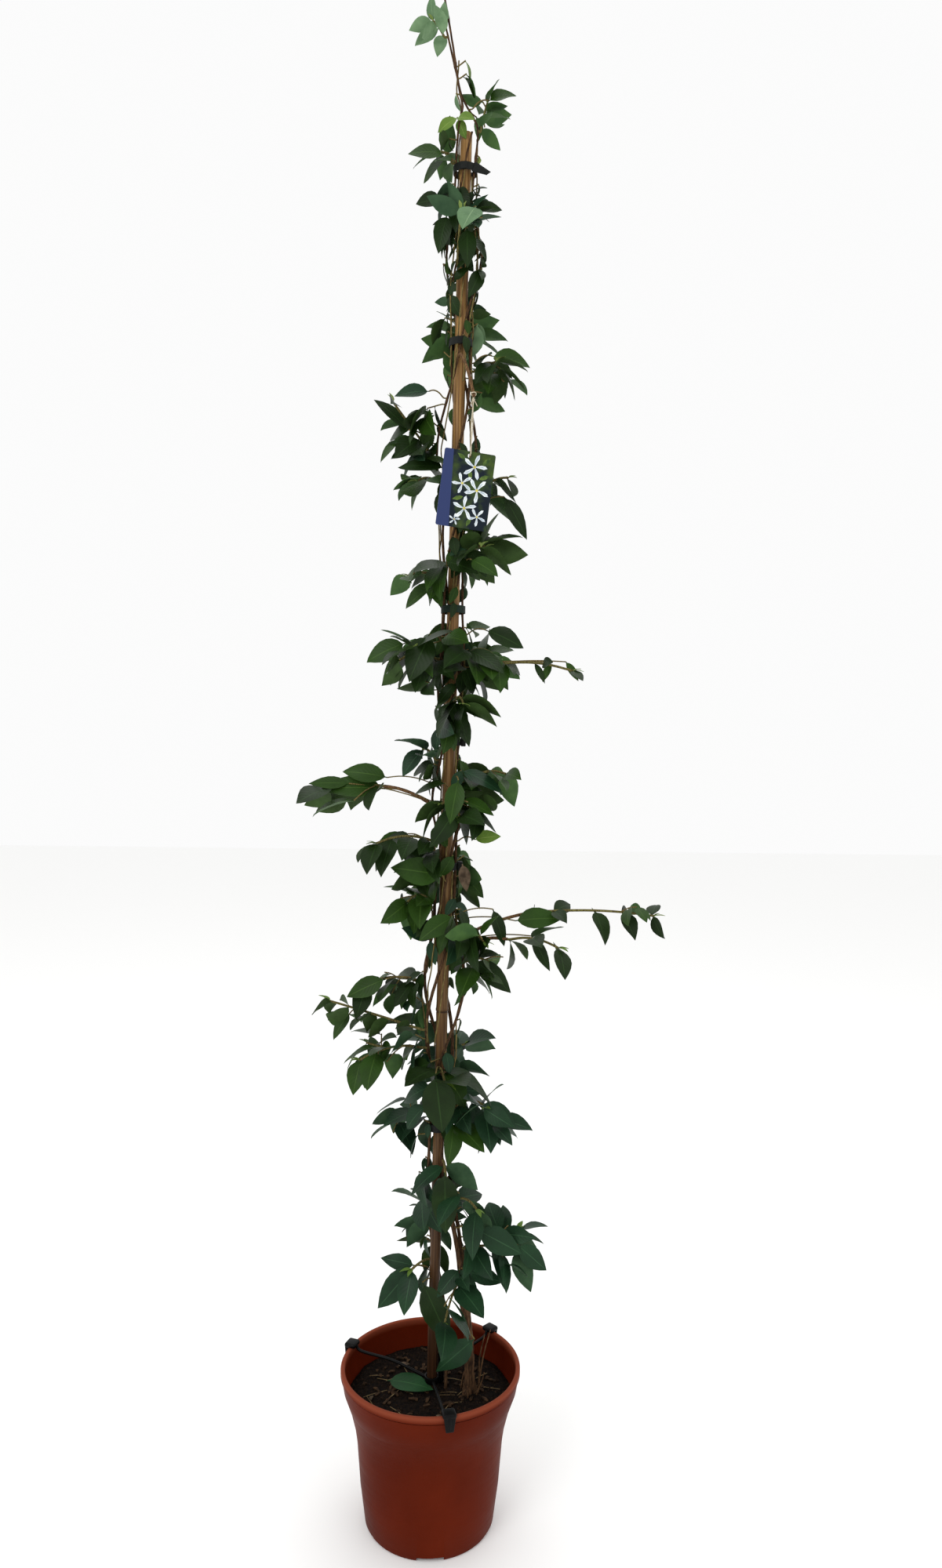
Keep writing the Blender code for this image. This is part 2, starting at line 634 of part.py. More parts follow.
def nearest_stem(height, bearing):
    # The climber that stands furthest out on this side at this height.
    out = heading(bearing)
    standing = []
    for row in STEMS:
        if stem_path(row)[0].z + STEM_END_CLEARANCE < height < row[4] - STEM_END_CLEARANCE:
            standing.append(row)
    return max(standing, key=lambda row: (stem_centre(row, height) - cane_at(height)).dot(out))


def stem_centre(row, height):
    return spot_on(stem_path(row), height)


def foot_on_stem(height, bearing, push):
    host = nearest_stem(height, bearing)
    away = stem_radius(host, height) + LIMB_GAP + push
    return stem_centre(host, height) + heading(bearing) * away


def bough_path(row, push):
    foot = foot_on_stem(row[1], row[2], push)
    return limb_path(foot, row[2], row[3], row[4], row[5], 0.0, BOUGH_STEPS)


# ---- label ----
def label_place():
    turns = [math.radians(angle) for angle in LABEL_TURN]
    turn = Matrix.Rotation(turns[2], 4, "Z") @ Matrix.Rotation(turns[1], 4, "Y")
    turn = turn @ Matrix.Rotation(turns[0], 4, "X")
    return Matrix.Translation(LABEL_CENTRE) @ turn


def make_label(bough):
    place = label_place()
    width, height, thickness = LABEL_SIZE
    card = add_solid("label", box_shape((width, thickness, height), place), False)
    hole = place @ Matrix.Translation((0.0, 0.0, height / 2.0 - LABEL_HOLE_INSET))
    ends = [hole @ Vector((0.0, side * 4.0 * thickness, 0.0)) for side in (1.0, -1.0)]
    punch = add_solid("label_punch", tube_shape(ends, [LABEL_HOLE] * 2, 10), False)
    fuse(card, [punch], "DIFFERENCE")
    fuse(card, [add_solid("label_cord", cord_shape(bough))])
    return finish(card, (0.030, 0.045, 0.120), 0.35)


def cord_shape(bough):
    # A closed loop sewn through the top of the card and hung over the label's bough.
    place = label_place()
    top = LABEL_SIZE[1] / 2.0
    hole = place @ Vector((0.0, 0.0, top - CORD_STITCH))
    front = place @ Vector((0.0, -CORD_SPREAD, top + CORD_STITCH))
    back = place @ Vector((0.0, CORD_SPREAD, top + CORD_STITCH))
    along = (bough[-1] - bough[-2]).normalized()
    peg = bough[-1] - along * CORD_LOOP
    over = peg + (UP - along * along.dot(UP)).normalized() * CORD_LOOP
    side = along.cross(UP).normalized()
    if side.dot(front - back) < 0.0:
        side = -side
    near = peg + side * CORD_LOOP
    far = peg - side * CORD_LOOP
    path = [hole, front, front.lerp(near, 0.5), near, over, far, back.lerp(far, 0.5), back]
    return tube_shape(path, [CORD_RADIUS] * len(path), CORD_SIDES, True)


# ---- foliage ----
def leaf_shape(root, along, face_up, length, width, grow=0.0, trim=0.0):
    # A curved blade with a raised middle: root section, two widths, tip and top centre.
    side = along.cross(face_up).normalized()
    up = side.cross(along).normalized()
    half = width / 2.0 + grow
    thick = length * LEAF_THICKNESS * 0.5 + grow
    stalk = LEAF_ROOT_HALF + grow
    base = root + along * (length * trim)
    droop = length * 0.06

    def spot(share, across, lift):
        return root + along * (length * share) + side * across + up * lift

    points = [
        base + side * stalk - up * stalk, base + up * stalk, base - side * stalk - up * stalk,
        spot(0.36, half * 0.92, droop * 0.5), spot(0.36, -half * 0.92, droop * 0.5),
        spot(0.70, half * 0.80, droop * 0.3), spot(0.70, -half * 0.80, droop * 0.3),
        spot(1.0, 0.0, -droop) + along * grow,
        spot(0.50, 0.0, droop * 0.6 + thick),
    ]
    ring = (1, 2, 4, 6, 7, 5, 3, 0)
    under = (6, 4, 2, 0, 3, 5)
    faces = [(8, ring[(i + 1) % 8], ring[i]) for i in range(8)]
    faces += [(7, under[i + 1], under[i]) for i in range(5)]
    faces.append((0, 1, 2))
    return points, faces


class Obstacles:
    # Bodies already placed, each with its box, so that a new twig or leaf can keep clear.
    def __init__(self):
        self.bodies = []

    def add(self, shape, owner):
        points, faces = shape
        low = [min(point[i] for point in points) for i in range(3)]
        high = [max(point[i] for point in points) for i in range(3)]
        self.bodies.append((low, high, BVHTree.FromPolygons(points, faces), owner))

    def hit(self, shape, skip=()):
        points, faces = shape
        low = [min(point[i] for point in points) for i in range(3)]
        high = [max(point[i] for point in points) for i in range(3)]
        tree = None
        for other_low, other_high, other, owner in self.bodies:
            if owner in skip:
                continue
            apart = any(low[i] > other_high[i] or high[i] < other_low[i] for i in range(3))
            if apart:
                continue
            if tree is None:
                tree = BVHTree.FromPolygons(points, faces)
            if tree.overlap(other):
                return True
        return False


def twig_radii(count, reach):
    foot = blend(TWIG_RADIUS[1], TWIG_RADIUS[0], min(reach / 0.08, 1.0))
    return [blend(foot, TWIG_RADIUS[1], i / (count - 1)) for i in range(count)]


def grow_leaf(root, tangent, sign, roll, length, chance, obstacles, own):
    for attempt in range(LEAF_TRIES):
        loose = 1.0 + 0.35 * attempt
        side = tangent.cross(UP)
        if side.length < 0.3:
            side = tangent.cross(heading(chance.uniform(0.0, 360.0)))
        side = Matrix.Rotation(roll + chance.gauss(0.0, 0.22 * loose), 3, tangent) @ side.normalized()
        spread = math.radians(chance.gauss(62.0, 9.0 * loose))
        along = tangent * math.cos(spread) + side * (sign * math.sin(spread))
        along -= UP * max(chance.gauss(0.45, 0.35 * loose), -0.30)
        along.normalize()
        face_up = UP - along * along.dot(UP)
        if face_up.length < 0.2:
            face_up = tangent - along * along.dot(tangent)
        tilt = chance.gauss(0.0, 0.75)
        face_up = Matrix.Rotation(tilt, 3, along) @ face_up.normalized()
        size = length * chance.uniform(0.86, 1.12) * (0.97 ** attempt)
        width = size * LEAF_WIDTH * chance.uniform(0.9, 1.12)
        leaf = (root, along, face_up, size, width)
        wide = leaf_shape(*leaf, grow=0.00035)
        outer = leaf_shape(*leaf, grow=0.0002, trim=0.14)
        if obstacles.hit(wide, own) or obstacles.hit(outer, own[:1]):
            continue
        return leaf
    return None


def grow_shoot(path, pairs, first, length, chance, obstacles, own):
    # Opposite pairs at even spacing along one twig, smaller towards its tip.
    leaves = []
    last = len(path) - 1
    roll = chance.gauss(0.0, 0.15)
    for k in range(pairs):
        share = first + (0.985 - first) * (k / max(pairs - 1, 1))
        if 0 < k < pairs - 1:
            share += chance.gauss(0.0, NODE_SPACING_JITTER / pairs)
        place = min(max(share, 0.05), 0.985) * last
        i = min(int(place), last - 1)
        root = path[i].lerp(path[i + 1], place - i)
        tangent = (path[i + 1] - path[i]).normalized()
        turn = roll
        if abs(tangent.z) > 0.6 and k % 2:
            turn += math.pi / 2.0
        size = length * (1.0 - 0.22 * abs(2.0 * (k + 1.0) / (pairs + 1.0) - 1.0))
        for sign in (1.0, -1.0):
            origin = root + tangent * (0.0005 * sign)
            leaf = grow_leaf(origin, tangent, sign, turn, size, chance, obstacles, own)
            if leaf is not None:
                leaves.append(leaf)
                obstacles.add(leaf_shape(*leaf), own[1])
    return leaves


def grow_mass(row, boughs, obstacles):
    # One stem from its host, side shoots by the seeded rule, and leaf pairs on all of them.
    name, bough, height, bearing, reach, rise, arch, pairs, length, sides = row
    chance = random.Random("%s %d" % (name, FOLIAGE_SEED))
    path = None
    own = (name + "_twig", name)
    for attempt in range(12):
        turn = bearing + chance.gauss(0.0, 5.0 + 4.0 * attempt)
        bend = chance.gauss(0.0, 0.10) * reach
        if bough is None:
            start = foot_on_stem(height + 0.003 * (attempt // 2), turn, PUSH * (attempt % 2))
        else:
            ahead = (boughs[bough][0][-1] - boughs[bough][0][-2]).normalized()
            start = boughs[bough][0][-1] + ahead * LIMB_GAP
        trial = limb_path(start, turn, reach, rise * chance.uniform(0.8, 1.2), arch, bend, TWIG_STEPS)
        if bough is not None:
            trial[1] = start + ahead * LIMB_LEAD
        radii = twig_radii(len(trial), reach)
        wide = [radius + TEST_MARGIN for radius in radii]
        if not obstacles.hit(tube_shape(trial, wide, 3)):
            path = trial
            break
    if path is None:
        return None
    twigs = [(path, radii)]
    obstacles.add(tube_shape(path, radii, 3), own[0])
    leaves = []
    for k in range(sides):
        share = chance.uniform(0.30, 0.75)
        place = share * (len(path) - 1)
        i = min(int(place), len(path) - 2)
        root = path[i].lerp(path[i + 1], place - i)
        sign = 1.0 if (k + pairs) % 2 else -1.0
        for attempt in range(8):
            swing = sign * chance.uniform(35.0, 80.0 + 8.0 * attempt)
            span = max(0.55 * reach, 0.022) * chance.uniform(0.7, 1.15)
            out = heading(turn + swing)
            lift = chance.uniform(-0.3, 0.5) * span
            branch = [root, root + out * (0.5 * span) + UP * (0.6 * lift)]
            branch.append(root + out * span + UP * lift)
            wide = tube_shape([root.lerp(branch[1], 0.15)] + branch[1:], [TWIG_RADIUS[1] + TEST_MARGIN] * 3, 3)
            if obstacles.hit(wide, own[:1]):
                continue
            twigs.append((branch, [TWIG_RADIUS[1]] * 3))
            obstacles.add(tube_shape(branch, [TWIG_RADIUS[1]] * 3, 3), own[0])
            leaves += grow_shoot(branch, 2, 0.45, 0.9 * length, chance, obstacles, own)
            break
    first = 0.30 if bough is None else 0.14
    leaves += grow_shoot(path, pairs, first, length, chance, obstacles, own)
    return twigs, leaves


def make_mass(row, grown):
    twigs, leaves = grown
    bodies = [add_solid("twig_body", tube_shape(path, radii, 3), False) for path, radii in twigs[1:]]
    bodies += [add_solid("leaf_body", leaf_shape(*leaf), False) for leaf in leaves]
    mass = add_solid(row[0], tube_shape(twigs[0][0], twigs[0][1], 3), False)
    fuse(mass, bodies, solver="MANIFOLD")
    return finish(mass, (0.030, 0.085, 0.030), 0.45)


def place_limbs():
    # Limbs first, so that the foliage can keep clear of them.
    obstacles = Obstacles()
    for row in STEMS:
        obstacles.add(stem_shape(row), row[0])
    boughs = {}
    for row in BOUGHS:
        for step in range(PUSH_STEPS):
            path = bough_path(row, step * PUSH)
            radii = [blend(row[6], row[7], i / (len(path) - 1)) for i in range(len(path))]
            wide = [radius + TEST_MARGIN for radius in radii]
            if not obstacles.hit(tube_shape(path, wide, BOUGH_SIDES)):
                break
        boughs[row[0]] = (path, radii)
        obstacles.add(tube_shape(path, radii, BOUGH_SIDES), row[0])
    return obstacles, boughs


def solid_of(obj):
    points = [vert.co.copy() for vert in obj.data.vertices]
    return points, [tuple(face.vertices) for face in obj.data.polygons]


def build():
    clear_scene()
    obstacles, boughs = place_limbs()
    plain = [make_pot(), make_soil(), make_cane(), make_holder(), make_trunk()]
    plain.append(make_label(boughs["bough_label"][0]))
    plain += make_ties()
    for obj in plain:
        obstacles.add(solid_of(obj), obj.name)
    for row in STEMS:
        finish(add_solid(row[0], stem_shape(row)), (0.085, 0.050, 0.030), 0.8)
    for name, (path, radii) in boughs.items():
        finish(add_solid(name, tube_shape(path, radii, BOUGH_SIDES)), (0.090, 0.070, 0.035), 0.75)
    for row in FOLIAGE:
        grown = grow_mass(row, boughs, obstacles)
        if grown is not None:
            make_mass(row, grown)


build()
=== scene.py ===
# Star jasmine on a bamboo cane in a nursery pot: the looks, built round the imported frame.
# Lengths are metres. The growth rule is the one that the solids were grown by.
import random
from math import atan2, cos, hypot, pi, radians, sin, sqrt

import bmesh
import bpy
from mathutils import Matrix, Vector, noise
from mathutils.bvhtree import BVHTree


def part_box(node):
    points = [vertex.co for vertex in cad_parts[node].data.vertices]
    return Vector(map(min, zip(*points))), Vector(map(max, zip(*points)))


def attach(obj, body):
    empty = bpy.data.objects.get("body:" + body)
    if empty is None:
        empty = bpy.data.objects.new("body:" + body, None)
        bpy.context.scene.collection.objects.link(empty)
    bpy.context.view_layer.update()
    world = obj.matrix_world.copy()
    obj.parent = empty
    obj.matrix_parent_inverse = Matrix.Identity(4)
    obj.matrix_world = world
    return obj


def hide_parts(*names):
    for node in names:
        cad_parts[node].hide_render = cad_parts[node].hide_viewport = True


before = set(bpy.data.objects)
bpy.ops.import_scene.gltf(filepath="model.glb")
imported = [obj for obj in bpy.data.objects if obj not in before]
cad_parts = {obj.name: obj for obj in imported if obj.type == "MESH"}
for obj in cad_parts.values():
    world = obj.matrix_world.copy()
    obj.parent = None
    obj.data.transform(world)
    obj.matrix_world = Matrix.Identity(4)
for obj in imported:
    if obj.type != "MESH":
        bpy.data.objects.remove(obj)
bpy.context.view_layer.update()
print("frame loaded:", len(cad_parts), "nodes")

up = Vector((0, 0, 1))
mm = 0.001
fullTurn = 6.28     # radians, for a turn drawn at random


# tools used by every piece
def linearColour(hexCode):
    channels = [int(hexCode[i:i + 2], 16) / 255 for i in (1, 3, 5)]
    linear = [c / 12.92 if c <= 0.04045 else ((c + 0.055) / 1.055) ** 2.4 for c in channels]
    return (linear[0], linear[1], linear[2], 1)


def addNode(tree, kind, settings=None, links=None, feeds=None):
    # settings: socket or property; links: input: (node, output); feeds: output: (node, input)
    node = tree.nodes.new("ShaderNode" + kind)
    for name, value in (settings or {}).items():
        if isinstance(name, int) or name in node.inputs:
            node.inputs[name].default_value = value
        else:
            setattr(node, name, value)
    for name, (source, output) in (links or {}).items():
        tree.links.new(source.outputs[output], node.inputs[name])
    for name, (target, entry) in (feeds or {}).items():
        tree.links.new(node.outputs[name], target.inputs[entry])
    return node


def startFinish(name, settings):
    # a plain finish; its own function adds the pattern
    finish = bpy.data.materials.new(name)
    finish.use_nodes = True
    tree = finish.node_tree
    shader = tree.nodes["Principled BSDF"]
    for socket, value in settings.items():
        shader.inputs[socket].default_value = value
    place = addNode(tree, "TexCoord")
    return finish, tree, shader, place


def makeActive(piece):
    bpy.ops.object.select_all(action="DESELECT")
    piece.select_set(True)
    bpy.context.view_layer.objects.active = piece


def applyModifier(piece, kind, settings):
    makeActive(piece)
    change = piece.modifiers.new(kind.title(), kind)
    for name, value in settings.items():
        setattr(change, name, value)
    bpy.ops.object.modifier_apply(modifier=change.name)


def smoothByAngle(piece, degrees):
    makeActive(piece)
    bpy.ops.object.shade_smooth_by_angle(angle=radians(degrees))


def joinPieces(pieces, name):
    bpy.ops.object.select_all(action="DESELECT")
    for piece in pieces:
        piece.select_set(True)
    bpy.context.view_layer.objects.active = pieces[0]
    if len(pieces) > 1:
        bpy.ops.object.join()
    pieces[0].name = name
    return pieces[0]


def settle(piece, finishes, nodes=()):
    # material, body and the nodes that the piece stands for
    makeActive(piece)
    bpy.ops.object.transform_apply(location=True, rotation=True, scale=True)
    if finishes is not None:
        piece.data.materials.clear()
        for finish in finishes:
            piece.data.materials.append(finish)
    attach(piece, "root")
    if nodes:
        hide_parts(*nodes)
    return piece


def drawRings(name, profile, segments):
    # turned along a profile of (radius, height), closed at both ends
    bpy.ops.object.select_all(action="DESELECT")
    radius, height = profile[0]
    bpy.ops.mesh.primitive_circle_add(
        vertices=segments, radius=radius, fill_type="NGON", location=(0, 0, height))
    piece = bpy.context.object
    piece.name = name
    bpy.ops.object.transform_apply(location=True, rotation=True, scale=True)
    bpy.ops.object.mode_set(mode="EDIT")
    bpy.ops.mesh.select_all(action="SELECT")
    for (lastRadius, lastHeight), (radius, height) in zip(profile, profile[1:]):
        bpy.ops.mesh.extrude_region_move(
            TRANSFORM_OT_translate={"value": (0, 0, height - lastHeight)})
        grow = radius / lastRadius
        bpy.ops.transform.resize(value=(grow, grow, 1), center_override=(0, 0, height))
    bpy.ops.mesh.select_all(action="SELECT")
    bpy.ops.mesh.normals_make_consistent(inside=False)
    bpy.ops.object.mode_set(mode="OBJECT")
    return piece


def sweepPaths(name, sweeps, roundness):
    # tapered tubes along paths, from one bevelled curve
    curve = bpy.data.curves.new(name, "CURVE")
    curve.dimensions = "3D"
    curve.bevel_depth = 1
    curve.bevel_resolution = roundness
    curve.use_fill_caps = True
    for path, radii in sweeps:
        spline = curve.splines.new("POLY")
        spline.points.add(len(path) - 1)
        for point, spot, radius in zip(spline.points, path, radii):
            point.co = (spot[0], spot[1], spot[2], 1)
            point.radius = radius
    piece = bpy.data.objects.new(name, curve)
    bpy.context.scene.collection.objects.link(piece)
    makeActive(piece)
    bpy.ops.object.convert(target="MESH")
    bpy.ops.object.mode_set(mode="EDIT")
    bpy.ops.mesh.select_all(action="SELECT")
    bpy.ops.mesh.remove_doubles(threshold=0.000001)
    bpy.ops.mesh.normals_make_consistent(inside=False)
    bpy.ops.object.mode_set(mode="OBJECT")
    bpy.ops.object.shade_smooth()
    return bpy.context.object


def roughen(piece, depth, size, seed):
    # in and out along the normals by a noise of one grain size
    shift = Vector((seed, seed * 1.7, seed * 0.3))
    normals = [vertex.normal.copy() for vertex in piece.data.vertices]
    for vertex, normal in zip(piece.data.vertices, normals):
        vertex.co += normal * (depth * noise.fractal(vertex.co / size + shift, 1, 2, 3))
    piece.data.update()


def drawBox(name, size, bevel, place):
    # a block with three-step rounded edges, put in its place
    bpy.ops.object.select_all(action="DESELECT")
    bpy.ops.mesh.primitive_cube_add(size=1, location=(0, 0, 0))
    piece = bpy.context.object
    piece.name = name
    piece.scale = size
    bpy.ops.object.transform_apply(location=True, rotation=True, scale=True)
    bpy.ops.object.mode_set(mode="EDIT")
    bpy.ops.mesh.select_all(action="SELECT")
    bpy.ops.mesh.bevel(offset=bevel, segments=3, affect="EDGES")
    bpy.ops.object.mode_set(mode="OBJECT")
    piece.data.transform(place)
    smoothByAngle(piece, 40)
    return piece


def heading(bearing):
    angle = radians(bearing)
    return Vector((cos(angle), sin(angle), 0))


def blend(a, b, share):
    return a + (b - a) * share


def ease(share):
    share = min(max(share, 0), 1)
    return share * share * (3 - 2 * share)


# finishes
def squareTo(along, face):
    return (face - along * along.dot(face)).normalized()


def perMetre(*sizes):
    # how often a pattern of these sizes, across, deep and high, comes in a metre
    return tuple(1 / size for size in sizes)


def mottle(tree, shader, place, size, darkHex, lightHex, low=0.35, high=0.65):
    # two near colours mixed by a soft noise of one size
    grain = addNode(tree, "TexNoise", {"Scale": 1 / size, "Detail": 5},
                    {"Vector": (place, "Object")})
    share = addNode(tree, "MapRange", {"From Min": low, "From Max": high},
                    {"Value": (grain, "Fac")})
    mixed = addNode(tree, "MixRGB",
                    {"Color1": linearColour(darkHex), "Color2": linearColour(lightHex)},
                    {"Fac": (share, "Result")}, {"Color": (shader, "Base Color")})
    return grain, mixed


def potPlastic():
    # moulded polypropylene in a brick pigment: satin skin, faint flow marks, a paler lip that is partly
    # rubbed wear and partly painted highlight
    settings = {"IOR": 1.49, "Specular IOR Level": 0.03}
    finish, tree, shader, place = startFinish("mouldedBrickPlastic", settings)
    mixed = mottle(tree, shader, place, 111.1 * mm, "#4e1606", "#5b1c09")[1]
    # painted highlight and wear: the lip's top is mixed towards a paler brick
    wearAndHighlight = addNode(tree, "Attribute", {"attribute_name": "wearAndHighlight"})
    addNode(tree, "MixRGB", {"Color2": linearColour("#7a3a27")},
            {"Fac": (wearAndHighlight, "Fac"), "Color1": (mixed, "Color")}, {"Color": (shader, "Base Color")})
    flow = addNode(tree, "Mapping", {"Scale": perMetre(55.56 * mm, 55.56 * mm, 3.704 * mm)},
                   {"Vector": (place, "Object")})
    marks = addNode(tree, "TexNoise", {"Scale": 1, "Detail": 4}, {"Vector": (flow, "Vector")})
    addNode(tree, "MapRange", {"To Min": 0.36, "To Max": 0.56}, {"Value": (marks, "Fac")},
            {"Result": (shader, "Roughness")})
    fine = addNode(tree, "TexNoise", {"Scale": 1 / (2.38 * mm), "Detail": 2},
                   {"Vector": (place, "Object")})
    addNode(tree, "Bump", {"Strength": 1, "Distance": 0.12 * mm}, {"Height": (fine, "Fac")},
            {"Normal": (shader, "Normal")})
    return finish


def bambooSkin():
    # sun-dried bamboo: waxy tan skin with painted shade that darkens it towards the soil, long streaks, dark
    # lines at the joints
    finish, tree, shader, place = startFinish("agedBamboo", {"IOR": 1.5, "Specular IOR Level": 0.2})
    parts = addNode(tree, "SeparateXYZ", links={"Vector": (place, "Object")})
    # painted shade: the skin goes from tan at the top to dark brown near the soil
    height = addNode(tree, "MapRange", {"From Min": 0.2, "From Max": 1.7}, {"Value": (parts, "Z")})
    shadedByHeight = addNode(tree, "MixRGB",
                     {"Color1": linearColour("#3f2818"), "Color2": linearColour("#ad8650")},
                     {"Fac": (height, "Result")})
    stretch = addNode(tree, "Mapping", {"Scale": perMetre(2.381 * mm, 2.381 * mm, 111.1 * mm)},
                      {"Vector": (place, "Object")})
    streak = addNode(tree, "TexNoise", {"Scale": 1, "Detail": 5}, {"Vector": (stretch, "Vector")})
    share = addNode(tree, "MapRange", {"From Min": 0.38, "From Max": 0.72}, {"Value": (streak, "Fac")})
    dark = addNode(tree, "MixRGB", {"blend_type": "MULTIPLY", "Color2": linearColour("#8d7460")},
                   {"Fac": (share, "Result"), "Color1": (shadedByHeight, "Color")})
    ring = addNode(tree, "Attribute", {"attribute_name": "ring"})
    addNode(tree, "MixRGB", {"Color2": linearColour("#241309")},
            {"Fac": (ring, "Fac"), "Color1": (dark, "Color")}, {"Color": (shader, "Base Color")})
    addNode(tree, "MapRange", {"To Min": 0.34, "To Max": 0.62}, {"Value": (streak, "Fac")},
            {"Result": (shader, "Roughness")})
    addNode(tree, "Bump", {"Strength": 1, "Distance": 0.3 * mm}, {"Height": (streak, "Fac")},
            {"Normal": (shader, "Normal")})
    return finish


def softTie(name, darkHex, lightHex):
    # extruded soft PVC tie: flat, dull, with fine cross ribs about a millimetre apart
    finish, tree, shader, place = startFinish(
        name, {"Roughness": 0.6, "IOR": 1.53, "Specular IOR Level": 0.2})
    mottle(tree, shader, place, 14.29 * mm, darkHex, lightHex)
    bandsPerUnit = 10 / pi   # a wave texture draws this many bands in each unit of its scale
    wave = addNode(tree, "TexWave",
                   {"wave_type": "BANDS", "bands_direction": "Z", "Distortion": 0.4,
                    "Scale": 1 / (bandsPerUnit * 1.0134 * mm)}, {"Vector": (place, "Object")})
    addNode(tree, "Bump", {"Strength": 1, "Distance": 0.2 * mm}, {"Height": (wave, "Fac")},
            {"Normal": (shader, "Normal")})
    return finish


def barkSkin(name, darkHex, lightHex, width, depth):
    # thin fissured bark: cracks six times as long as they are wide, pale ridges between them
    finish, tree, shader, place = startFinish(name, {"Roughness": 0.86, "Specular IOR Level": 0.12})
    crack = addNode(tree, "Mapping", {"Scale": perMetre(width, width, 6.25 * width)},
                    {"Vector": (place, "Object")})
    grain = addNode(tree, "TexNoise", {"Scale": 1, "Detail": 6, "Roughness": 0.62},
                    {"Vector": (crack, "Vector")})
    share = addNode(tree, "MapRange", {"From Min": 0.36, "From Max": 0.62}, {"Value": (grain, "Fac")})
    addNode(tree, "MixRGB", {"Color1": linearColour(darkHex), "Color2": linearColour(lightHex)},
            {"Fac": (share, "Result")}, {"Color": (shader, "Base Color")})
    addNode(tree, "Bump", {"Strength": 1, "Distance": depth}, {"Height": (grain, "Fac")},
            {"Normal": (shader, "Normal")})
    return finish


def leafSkin(name, darkHex, lightHex, ribHex, roughness):
    # waxy evergreen blade: pale midrib, slanting side veins, gloss that breaks up over the blade
    finish, tree, shader, place = startFinish(name, {"Specular IOR Level": 0.13})
    grain, mixed = mottle(tree, shader, place, 29.41 * mm, darkHex, lightHex, 0.3, 0.7)
    parts = addNode(tree, "SeparateXYZ", links={"Vector": (place, "UV")})
    middle = addNode(tree, "Math", {"operation": "SUBTRACT", 1: 0.5}, {0: (parts, "Y")})
    aside = addNode(tree, "Math", {"operation": "ABSOLUTE"}, {0: (middle, "Value")})
    rib = addNode(tree, "MapRange", {"From Min": 0.03, "From Max": 0.008, "To Max": 0.55},
                  {"Value": (aside, "Value")})
    addNode(tree, "MixRGB", {"Color2": linearColour(ribHex)},
            {"Fac": (rib, "Result"), "Color1": (mixed, "Color")}, {"Color": (shader, "Base Color")})
    lean = addNode(tree, "Math", {"operation": "MULTIPLY_ADD", 1: -0.55},
                   {0: (aside, "Value"), 2: (parts, "X")})
    halfSpacing = 0.055     # of the side veins, as a share of the blade's length
    vein = addNode(tree, "Math", {"operation": "PINGPONG", 1: halfSpacing}, {0: (lean, "Value")})
    addNode(tree, "Bump", {"Strength": 1, "Distance": 1.6 * mm}, {"Height": (vein, "Value")},
            {"Normal": (shader, "Normal")})
    addNode(tree, "MapRange", {"To Min": roughness - 0.08, "To Max": roughness + 0.12},
            {"Value": (grain, "Fac")}, {"Result": (shader, "Roughness")})
    return finish


def mottledFinish(name, settings, size, darkHex, lightHex, relief, low=0.35, high=0.65):
    # a finish that is one mottle with its own relief
    finish, tree, shader, place = startFinish(name, settings)
    grain = mottle(tree, shader, place, size, darkHex, lightHex, low, high)[0]
    addNode(tree, "Bump", {"Strength": 1, "Distance": relief}, {"Height": (grain, "Fac")},
            {"Normal": (shader, "Normal")})
    return finish


def dullSkin(name, darkHex, lightHex, size, roughness, relief):
    # matt natural or printed surface: leaf underside, dried leaf, straw, chips, twine, ink
    settings = {"Roughness": roughness, "Specular IOR Level": 0.12}
    return mottledFinish(name, settings, size, darkHex, lightHex, relief)


def compost():
    # peat and coir: matt, nearly black when damp, crumbs a few millimetres wide
    settings = {"Roughness": 0.95, "Specular IOR Level": 0.08}
    return mottledFinish("dampCompost", settings, 3.846 * mm, "#090605", "#1b120c", 1.6 * mm, 0.4, 0.66)


def blackPlastic():
    # moulded black polypropylene: fine grain, soft sheen along the rods
    settings = {"Roughness": 0.46, "IOR": 1.49, "Specular IOR Level": 0.12}
    return mottledFinish("mouldedBlackPlastic", settings, 6.25 * mm, "#020202", "#050505", 0.12 * mm)


def labelFilm():
    # printed film: out-of-focus greens and slate, a plain blue band at one side
    finish, tree, shader, place = startFinish(
        "printedLabelFilm", {"Roughness": 0.3, "IOR": 1.49, "Specular IOR Level": 0.15})
    grain, mixed = mottle(tree, shader, place, 23.81 * mm, "#101a24", "#3a4c1e", 0.46, 0.64)
    edge = addNode(tree, "Attribute", {"attribute_name": "band"})
    addNode(tree, "MixRGB", {"Color2": linearColour("#2d3860")},
            {"Fac": (edge, "Fac"), "Color1": (mixed, "Color")}, {"Color": (shader, "Base Color")})
    addNode(tree, "Bump", {"Strength": 1, "Distance": 0.04 * mm}, {"Height": (grain, "Fac")},
            {"Normal": (shader, "Normal")})
    return finish


def studioPaint(name, hexCode):
    # matt painted floor, even and pale
    settings = {"Base Color": linearColour(hexCode), "Roughness": 0.9, "Specular IOR Level": 0.1}
    return startFinish(name, settings)[0]


# pot
potShape = {
    "segments": 160,
    "outside": (
        (0.078, 0), (0.0803, 0.004), (0.0862, 0.05), (0.0904, 0.104), (0.093, 0.122),
        (0.1, 0.15), (0.1072, 0.169), (0.11, 0.1855),
    ),
    "lipRadius": 0.1115, "lipInside": 0.106, "lipBottom": 0.1872, "lipTop": 0.195, "lipRound": 0.0022,
    "lipEdge": 0.0004,      # the softened lower edge of the lip
    "cornerSteps": 5, "wall": 0.0022, "floor": 0.0085, "undercut": 0.003,
    # the faint step round the collar
    "ringHeight": 0.15, "ringStep": 0.0009, "ringRise": 0.0012,
    # the drain notches
    "notchTurns": (-87, 33, 153),
    # the last is the height over which the lip's painted highlight and wear fade in
    "notchSize": (0.028, 0.033, 0.01), "notchRound": 0.0012, "wearAndHighlightHeight": 0.006,
}


